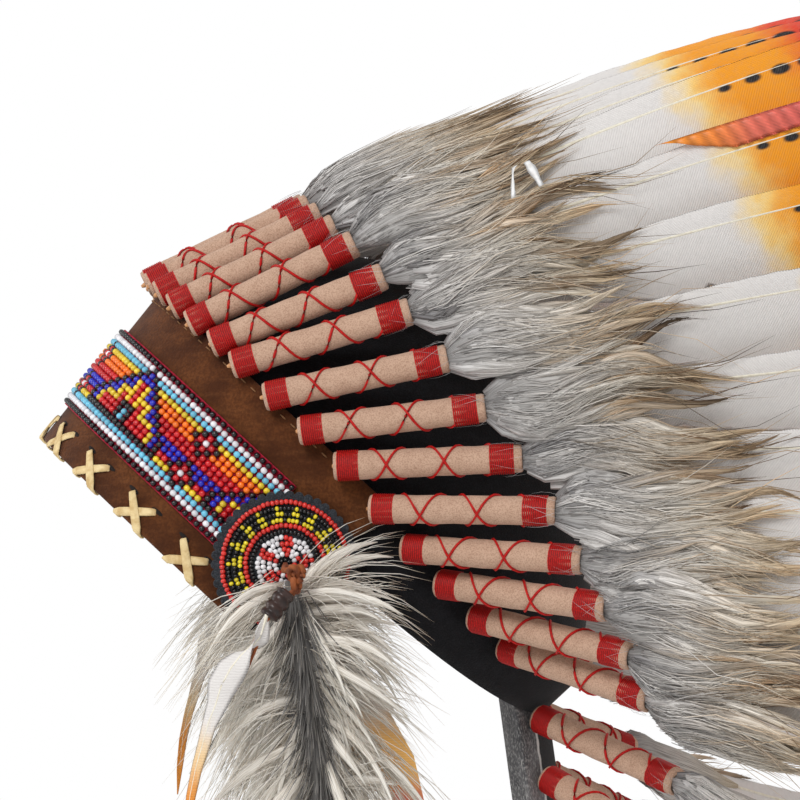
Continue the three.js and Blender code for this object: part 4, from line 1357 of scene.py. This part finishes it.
def soft_band(materials):
    """The suede band, its ends slanting back behind the rosettes, with rounded edges."""
    piece = Piece()
    share = np.linspace(-1, 1, 120)
    heights = np.linspace(0.4, BAND_HEIGHT - 0.4, 10)
    outer = [(height, 0.0) for height in heights]
    inner = [(height, -SUEDE) for height in heights[::-1]]
    top = [(BAND_HEIGHT, -0.5), (BAND_HEIGHT, -SUEDE + 0.5)]
    foot_edge = [(0.0, -SUEDE + 0.5), (0.0, -0.5)]
    low, high = (ROSETTE_ALONG + past for past in BAND_ENDS)
    section = outer + top + inner + foot_edge
    rings = np.stack([
        upright(on_band(share * (low + (high - low) * height / BAND_HEIGHT), offset, height))
        for height, offset in section], 1)
    piece.add(*closed_rings(rings))
    # Stitches under the top edge, each a short arc that leaves the suede and goes back
    stitches = np.arange(-BAND_STITCHES, BAND_STITCHES + 1) * STITCH_PITCH
    rows = np.linspace(-0.5, 0.5, 4)
    along = stitches[:, None] + rows * STITCH_PITCH * 0.55
    paths = upright(on_band(along, 0.55 - 3.6 * rows**2, BAND_HEIGHT - STITCH_DROP))
    add_threads(piece, paths, 0.32, 4, 1)
    piece.make("soft_band", materials, ["brow_band"])


# The edge lacing
LACE_HALF_WIDTH = 1.9
LACE_THICKNESS = 0.8
LACE_SECTION = ((-1, 0), (-0.8, 0.5), (0.8, 0.5), (1, 0), (0.8, -0.5), (-0.8, -0.5))
CROSS_PITCH = 0.2 * ROSETTE_ALONG
CROSSES_EACH_SIDE = 4
CROSS_HALF_WIDTH = 7
CROSS_HEIGHT = 10.4
SLIT_HALF_LENGTH = 2.9
SLIT_HALF_HEIGHT = 0.9
SLIT_ABOVE = 0.7
LACE_RUN_HEIGHT = 5
# The run's section: offset from the band's outer face, and height
RUN_SECTION = ((-3.0, -1.8), (-3.0, 1.8), (-3.9, 2.0), (-3.9, -2.0))
# One arm of a cross: share of the way across, height, offset, the way that its face looks (out and
# up), share of its full width, and how far it is turned to run square to its slant
ARM = np.array([
    (0.0, 4.0, -3.0, -1, 0, 1, 0), (0.0, 0.6, -3.0, -1, 0, 1, 0),
    (0.0, -0.6, -2.6, -0.7, -0.7, 1, 0), (0.0, -0.9, -1.1, 0, -1, 1, 0),
    (0.03, -0.5, 0.5, 0.7, -0.7, 1, 0.3), (0.12, 0.7, 0.75, 1, 0, 1.05, 0.8),
    (0.35, 3.3, 0.75, 1, 0, 1.0, 1), (0.6, 6.1, 0.75, 1, 0, 0.95, 1),
    (0.85, 8.9, 0.75, 1, 0, 0.85, 1), (0.96, 10.1, 0.6, 1, 0, 0.75, 1),
    (1.0, 10.6, -0.6, 1, 0, 0.6, 1),
])


def lace_arm(middle, lean, lift):
    """Rings of one lace of a cross: a flat section of six points carried along ARM."""
    way, height, offset, out, up, width, square = ARM.T
    along = middle + lean * CROSS_HALF_WIDTH * (2 * way - 1)
    slope = math.hypot(2 * CROSS_HALF_WIDTH, CROSS_HEIGHT)
    sideways = 1 - square * (1 - CROSS_HEIGHT / slope)
    upways = -square * lean * 2 * CROSS_HALF_WIDTH / slope
    rings = []
    for edge, face in LACE_SECTION:
        shift = edge * LACE_HALF_WIDTH * width
        thick = face * LACE_THICKNESS
        rings.append(on_band(
            along + shift * sideways,
            offset + lift * (out > 0.5) + out * thick,
            height + shift * upways + up * thick,
        ))
    return upright(np.stack(rings, 1))


def edge_laces(materials):
    """Crossed laces round the band's lower edge, with a dark disc in the slit at the head of each
    arm, painted shade in the hole, and a flat run inside the band."""
    piece = Piece()
    for place in range(-CROSSES_EACH_SIDE, CROSSES_EACH_SIDE + 1):
        middle = place * CROSS_PITCH
        for lean, lift in ((1, 0.0), (-1, 0.6)):
            piece.add(*closed_rings(lace_arm(middle, lean, lift)))
            head = middle + lean * CROSS_HALF_WIDTH
            turn = circle(8)
            along = head + SLIT_HALF_LENGTH * np.cos(turn) + lean * 0.5 * np.sin(turn)
            height = CROSS_HEIGHT + SLIT_ABOVE + SLIT_HALF_HEIGHT * np.sin(turn)
            # The slit is a dark disc: painted shade in the hole through the band
            slit_shade = [upright(on_band(along, offset, height)) for offset in (-0.3, 0.12)]
            piece.add(*closed_rings(np.array(slit_shade)), 1)
    reach = CROSS_PITCH * CROSSES_EACH_SIDE + CROSS_HALF_WIDTH
    run = np.linspace(-reach, reach, 60)
    rings = np.stack([
        upright(on_band(run, offset, LACE_RUN_HEIGHT + height))
        for offset, height in RUN_SECTION], 1)
    piece.add(*closed_rings(rings))
    piece.make("crossed_laces", materials, ["edge_lacing"])


# Drops


TAIL_PALE = np.array([
    (0.0, 232, 224, 214), (0.25, 252, 246, 236), (0.75, 255, 252, 244), (0.93, 252, 242, 224),
    (1.0, 232, 212, 184),
])
TAIL_DARK = np.array([
    (0.0, 84, 82, 82), (0.5, 122, 120, 118), (0.85, 168, 165, 161), (1.0, 202, 197, 190)])
# Locks and hairs of the tail, and lengths and half widths of the locks
TAIL_LOCKS = 130
TAIL_LOCK_LENGTHS = (34, 64)
TAIL_LOCK_HALF_WIDTHS = (1.2, 2.6)
TAIL_HAIRS = 1400
UNDER_HAIRS = 700
# How a hair leaves the tail: share of the tail's length, and angle above the horizontal
TAIL_ANGLES = np.array([(0.0, 36), (0.08, 12), (0.25, -18), (0.6, -38), (1.0, -65)])


def tail_line(share, low, high):
    """Middle of the tail in the upright frame, from its head to its foot."""
    middle = (low + high) / 2
    x = np.interp(share, [0, 0.36, 0.62, 1], middle[0] + np.array([-3, 4, 9, 10]))
    y = np.interp(share, [0, 0.2, 1], [high[1] - 4, middle[1], middle[1] - 2])
    return x, y, high[2] - (high[2] - low[2]) * share


def drop_tails(materials):
    """Long pale fur on a hanging strip of hide, with short dark fur down its middle. A hair leaves
    at an angle that turns from upwards at the head to downwards at the foot, and sags as the
    square of the way along it; hairs of one lock draw together towards the tip."""
    chance = np.random.default_rng(SEED + 90)
    low, high = (np.array(corner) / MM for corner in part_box("drop_tail_left"))
    piece = Piece()
    share = np.linspace(0, 0.96, 16)
    turn = circle(14)
    size = np.interp(share, [0, 0.1, 0.3, 0.8, 0.96], [0.3, 0.7, 1, 0.9, 0.2])[:, None]
    x, y, z = tail_line(share[:, None], low, high)
    hide = joined(x + 6 * size * np.cos(turn), y + 5 * size * np.sin(turn), z)
    spot = joined(12 * share[:, None], np.abs(turn - np.pi), 0.0)
    piece.add(*closed_rings(hide), 0, tones(TAIL_DARK, 0.45), spot.reshape(-1, 3))

    rows = HAIR_ROWS
    start = chance.permutation(np.linspace(0, 1, TAIL_LOCKS) ** 1.2 * 0.92 + 0.01)
    around = chance.uniform(-0.9, 0.9, TAIL_LOCKS) + np.pi * (np.arange(TAIL_LOCKS) % 2)
    angle = np.radians(from_table(TAIL_ANGLES, start))
    forwards = np.cos(around) < 0
    angle = angle + chance.normal(0, 0.32, TAIL_LOCKS) - 0.8 * forwards * (start < 0.2)
    length = chance.uniform(*TAIL_LOCK_LENGTHS, TAIL_LOCKS)
    light = chance.uniform(1.0, 1.3, TAIL_LOCKS)
    swing = chance.normal(0, 1.3, TAIL_LOCKS)

    def lie(from_share, reach, lift, turn, sway, along, apart=(0.0, 0.0)):
        """Paths that leave the hide at from_share, rising by lift in the direction turn."""
        x, y, z = (part[:, None] for part in tail_line(from_share, low, high))
        gone = reach[:, None] * along
        flat = gone * np.cos(lift)[:, None] * (1 - 0.12 * along)
        wave = sway[:, None] * np.sin(along * 4)
        lowered = gone * np.sin(lift)[:, None] - reach[:, None] * 0.34 * along**2
        paths = joined(
            x + (5 + flat) * np.cos(turn)[:, None] + apart[0] + wave,
            y + (4 + flat * 0.5) * np.sin(turn)[:, None] - 2 * along + wave,
            z + lowered + apart[1],
        )
        floor = low[2] - chance.uniform(-14, 8, len(reach))[:, None]
        paths[..., 2] = np.maximum(paths[..., 2], floor)
        return paths

    along = np.broadcast_to(LOCK_ROWS, (TAIL_LOCKS, len(LOCK_ROWS)))
    paths = lie(start, length * 0.8, angle, around, swing, LOCK_ROWS)
    tint = held_in(tones(TAIL_PALE, along * 0.8) * light[:, None, None])
    half_widths = chance.uniform(*TAIL_LOCK_HALF_WIDTHS, TAIL_LOCKS)
    add_locks(piece, paths, half_widths, tint, chance, 0, (0.0, -1.0, 0.0))

    lock = chance.integers(0, TAIL_LOCKS, TAIL_HAIRS)
    paths = lie(
        np.clip(start[lock] + chance.normal(0, 0.02, TAIL_HAIRS), 0, 0.95),
        length[lock] * chance.uniform(0.65, 1.1, TAIL_HAIRS),
        angle[lock] + chance.normal(0, 0.16, TAIL_HAIRS),
        around[lock] + chance.normal(0, 0.2, TAIL_HAIRS),
        swing[lock] + chance.normal(0, 0.6, TAIL_HAIRS),
        rows,
        chance.normal(0, 2.2, (2, TAIL_HAIRS))[:, :, None] * (1 - 0.7 * rows),
    )
    tint = tones(TAIL_PALE, rows[None] + np.zeros((TAIL_HAIRS, 1)))
    tint = held_in(tint * (light[lock] * chance.uniform(0.85, 1.15, TAIL_HAIRS))[:, None, None])
    add_hairs(piece, paths, 0.2, tint, chance, 0)

    start = chance.uniform(0.02, 0.93, UNDER_HAIRS)
    x, y, z = tail_line(start, low, high)
    way = chance.normal(0, 1, UNDER_HAIRS)[:, None]
    gone = chance.uniform(9, 20, UNDER_HAIRS)[:, None] * rows
    face = np.where(chance.uniform(0, 1, UNDER_HAIRS) < 0.75, -1, 1)[:, None]
    paths = joined(
        x[:, None] + way * 3.6 + gone * way * 0.3,
        y[:, None] + face * (6 + gone * 0.3),
        z[:, None] - gone * 0.85,
    )
    tint = tones(TAIL_DARK, rows[None] + np.zeros((UNDER_HAIRS, 1)))
    tint = tint * chance.uniform(0.6, 1.3, UNDER_HAIRS)[:, None, None]
    add_hairs(piece, paths, 0.2, tint, chance, 0)
    piece.make_pair("fur_tail", materials, "drop_tail")


# The curled feather, from its quill's end: back, down and out from the rosette's middle, half of
# its width, all in millimetres, and its turn about its length in degrees
CURL = np.array([
    (-8.3, 17.5, 33.5, 0.6, 20), (-9.6, 21.8, 34.0, 2.6, 30), (-11.1, 26.4, 35.0, 4.6, 42),
    (-14.4, 29.8, 35.8, 5.0, 76), (-19.0, 34.0, 36.2, 6.2, 128), (-22.6, 38.6, 36.6, 6.6, 152),
    (-26.2, 45.3, 37.0, 6.2, 160), (-28.2, 52.2, 37.0, 4.6, 150), (-31.3, 60.0, 37.0, 3.6, 140),
    (-33.6, 68.8, 36.8, 3.2, 138), (-35.9, 76.6, 36.4, 2.9, 135), (-38.2, 88.0, 36.0, 2.4, 140),
    (-39.6, 101.0, 35.4, 1.6, 150), (-40.4, 113.0, 35.0, 0.3, 150),
])
# Places below are back, down and out from the rosette's middle. The tie's knot, and the laces that
# lead to it and from it, each through three points
KNOT = (3.4, 3.6, 26)
TIE_LEADS = (
    ((0, 0, 3.0), (-1, 1.5, 15), (3, 1, 25)),
    ((3.5, 6, 26), (3, 8.5, 27), (0.6, 11, 28)),
)
TIE_RADIUS = 1.35
# The wound leather: its ends, its turns, its radius, and how much each turn swells
WOUND_HEAD = (-0.6, 8.6, 29.5)
WOUND_FOOT = (-7.7, 19.6, 31.5)
WOUND_TURNS = 3.4
WOUND_RADIUS = 3.2
WOUND_SWELL = 0.95
# The thin laces: their head, how far each is beside it and hangs down, and their slant
THIN_HEAD = (-8.4, 19, 33)
THIN_LACES = ((-0.8, 24), (0.8, 22))
THIN_SLANT = 0.42
THIN_RADIUS = 0.72


def drop_point(back, down, out):
    """A point so far back, below and out from the middle of the left rosette's beads."""
    x, y, z = middle_of("rosette_beads_left")
    return joined(x + back, y - out, z - down)


def drop_ties(material):
    """A lace out of the rosette's middle into a knot, whose path is a trefoil: two sines and two
    cosines of one and of two turns."""
    piece = Piece()
    turn = np.linspace(0, 6.1, 44)
    knot = drop_point(
        KNOT[0] + 0.95 * (np.sin(turn) + 2 * np.sin(2 * turn)),
        KNOT[1] - 1.9 * (np.cos(turn) - 2 * np.cos(2 * turn)),
        KNOT[2] + 1.5 * np.sin(3 * turn),
    )
    leads = [drop_point(*np.array(lead).T) for lead in TIE_LEADS]
    for path in (knot, *leads):
        add_threads(piece, path, TIE_RADIUS, 6)
    piece.make_pair("knotted_tie", [material], "drop_tie")


def wound_leather(material):
    """Leather wound round the heads of the feathers: a round bundle whose radius swells as the size
    of a sine that climbs with each turn."""
    piece = Piece()
    share = np.linspace(0, 1, 34)[:, None]
    turn = circle(16)[None]
    climb = np.abs(np.sin(np.pi * (WOUND_TURNS * share + turn / (2 * np.pi))))
    ends = np.interp(share, [0, 0.05, 0.94, 1], [0.4, 1, 1, 0.35])
    radius = ends * (WOUND_RADIUS + WOUND_SWELL * climb**0.8 + 0.25 * np.sin(turn + 6 * share))
    head = drop_point(*WOUND_HEAD)
    run = drop_point(*WOUND_FOOT) - head
    way = unit(run)
    across = unit(np.cross(way, (0, 1, 0)))
    rings = head + run * share[..., None] + radius[..., None] * (
        np.cos(turn)[..., None] * across + np.sin(turn)[..., None] * np.cross(way, across))
    piece.add(*closed_rings(rings))
    piece.make_pair("wound_leather", [material], "drop_wrap")


def thin_laces(material):
    """Two narrow lace ends that hang from the wound leather, side by side."""
    piece = Piece()
    share = np.linspace(0, 1, 6)
    back, down, out = THIN_HEAD
    for apart, length in THIN_LACES:
        hung = length * share
        path = drop_point(back + apart - hung * THIN_SLANT, down + hung, out - share)
        add_threads(piece, path, THIN_RADIUS, 6)
    piece.make_pair("thin_laces", [material], "drop_laces")


def curled_feathers(materials):
    """A narrow vane carried along CURL, turned about its length so that it shows its edge once, with
    its two halves cupped, and its shaft along the middle."""
    piece = Piece()
    share = np.linspace(0, 1, len(CURL))
    fine = np.linspace(0, 1, 60)
    back, down, out, width, turn = (np.interp(fine, share, column) for column in CURL.T)
    path = drop_point(back, down, out)
    tangent = unit(np.gradient(path, axis=0))
    side_way = unit(np.cross(tangent, (0, -1, 0)))
    face_way = np.cross(side_way, tangent)
    turn = np.radians(turn)[:, None]
    edge = side_way * np.cos(turn) + face_way * np.sin(turn)
    face = face_way * np.cos(turn) - side_way * np.sin(turn)
    half = np.linspace(-1, 1, 7)
    there = there_and_back(half)
    thick = 0.16 * there_and_back(1 - half**2, -1)
    cup = 0.22 * there**2
    rings = path[:, None] + width[:, None, None] * there[:, None] * edge[:, None] + (
        cup * width[:, None] + thick)[:, :, None] * face[:, None]
    piece.add(*closed_rings(rings))
    radius = np.interp(fine, [0, 0.08, 1], [1.0, 0.55, 0.15])
    add_threads(piece, path, radius, 6, 1, SHAFT_CREAM)
    piece.make_pair("curled_feather", materials, "drop_feather_curled")


def dress(node, material):
    """Gives a CAD node that shows its own finish."""
    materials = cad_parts[node].data.materials
    materials.clear()
    materials.append(material)


# Assembly

camera()
studio()

felt_beige = felt_finish("wrap_felt", linear(202, 168, 145), linear(158, 122, 100))
felt_black = felt_finish("cap_felt", linear(12, 12, 14), linear(34, 34, 38))
felt_grey = flap_finish()
suede = suede_finish()
glass_beads = bead_finish()
red_thread = thread_finish("red_thread", linear(206, 20, 16))
crimson_thread = thread_finish("crimson_thread", linear(190, 26, 58))
tan_thread = thread_finish("tan_thread", linear(150, 108, 70))
lace = leather_finish("lace_leather", linear(232, 208, 156), linear(200, 168, 112))
# Near black for the lace slits: painted shade in the holes
slit_shade = plain("lace_slit_shade", linear(22, 11, 6), 0.9)
rust_leather = leather_finish("rust_leather", linear(158, 84, 38), linear(104, 48, 20))
dark_leather = leather_finish("dark_leather", linear(54, 31, 24), linear(22, 13, 10), 0.34)
backing_felt = felt_finish("backing_felt", linear(36, 38, 42), linear(70, 74, 80))
# The second colour is that of the dark streaks: painted shade between hairs, and a random strand
# tone
fur = fur_finish("fur_strands", linear(156, 152, 149))
tail_fur = fur_finish("tail_strands", linear(206, 200, 192))
vane = vane_finish()
quill = quill_finish()
curled_barbs = drop_feather_finish(
    "curled_barbs", [(-46, 9, (240, 206, 156)), (-61, 9, (230, 146, 54))])
flat_barbs = drop_feather_finish("flat_barbs", [
    (-42, 10, (246, 190, 108)), (-70, 6, (224, 112, 100)), (-92, 5, (40, 34, 34))])

cap_and_flap([felt_black, felt_grey])
soft_band([suede, tan_thread])
edge_laces([lace, slit_shade])
strip_beads([glass_beads, crimson_thread])
rosette_backings(backing_felt)
rosette_beads([glass_beads, backing_felt])
feathers([felt_beige, red_thread, fur, vane, quill])
drop_tails([tail_fur])
drop_ties(rust_leather)
wound_leather(dark_leather)
thin_laces(rust_leather)
curled_feathers([curled_barbs, quill])
for side in SIDES:
    dress(f"drop_feather_flat_{side}", flat_barbs)
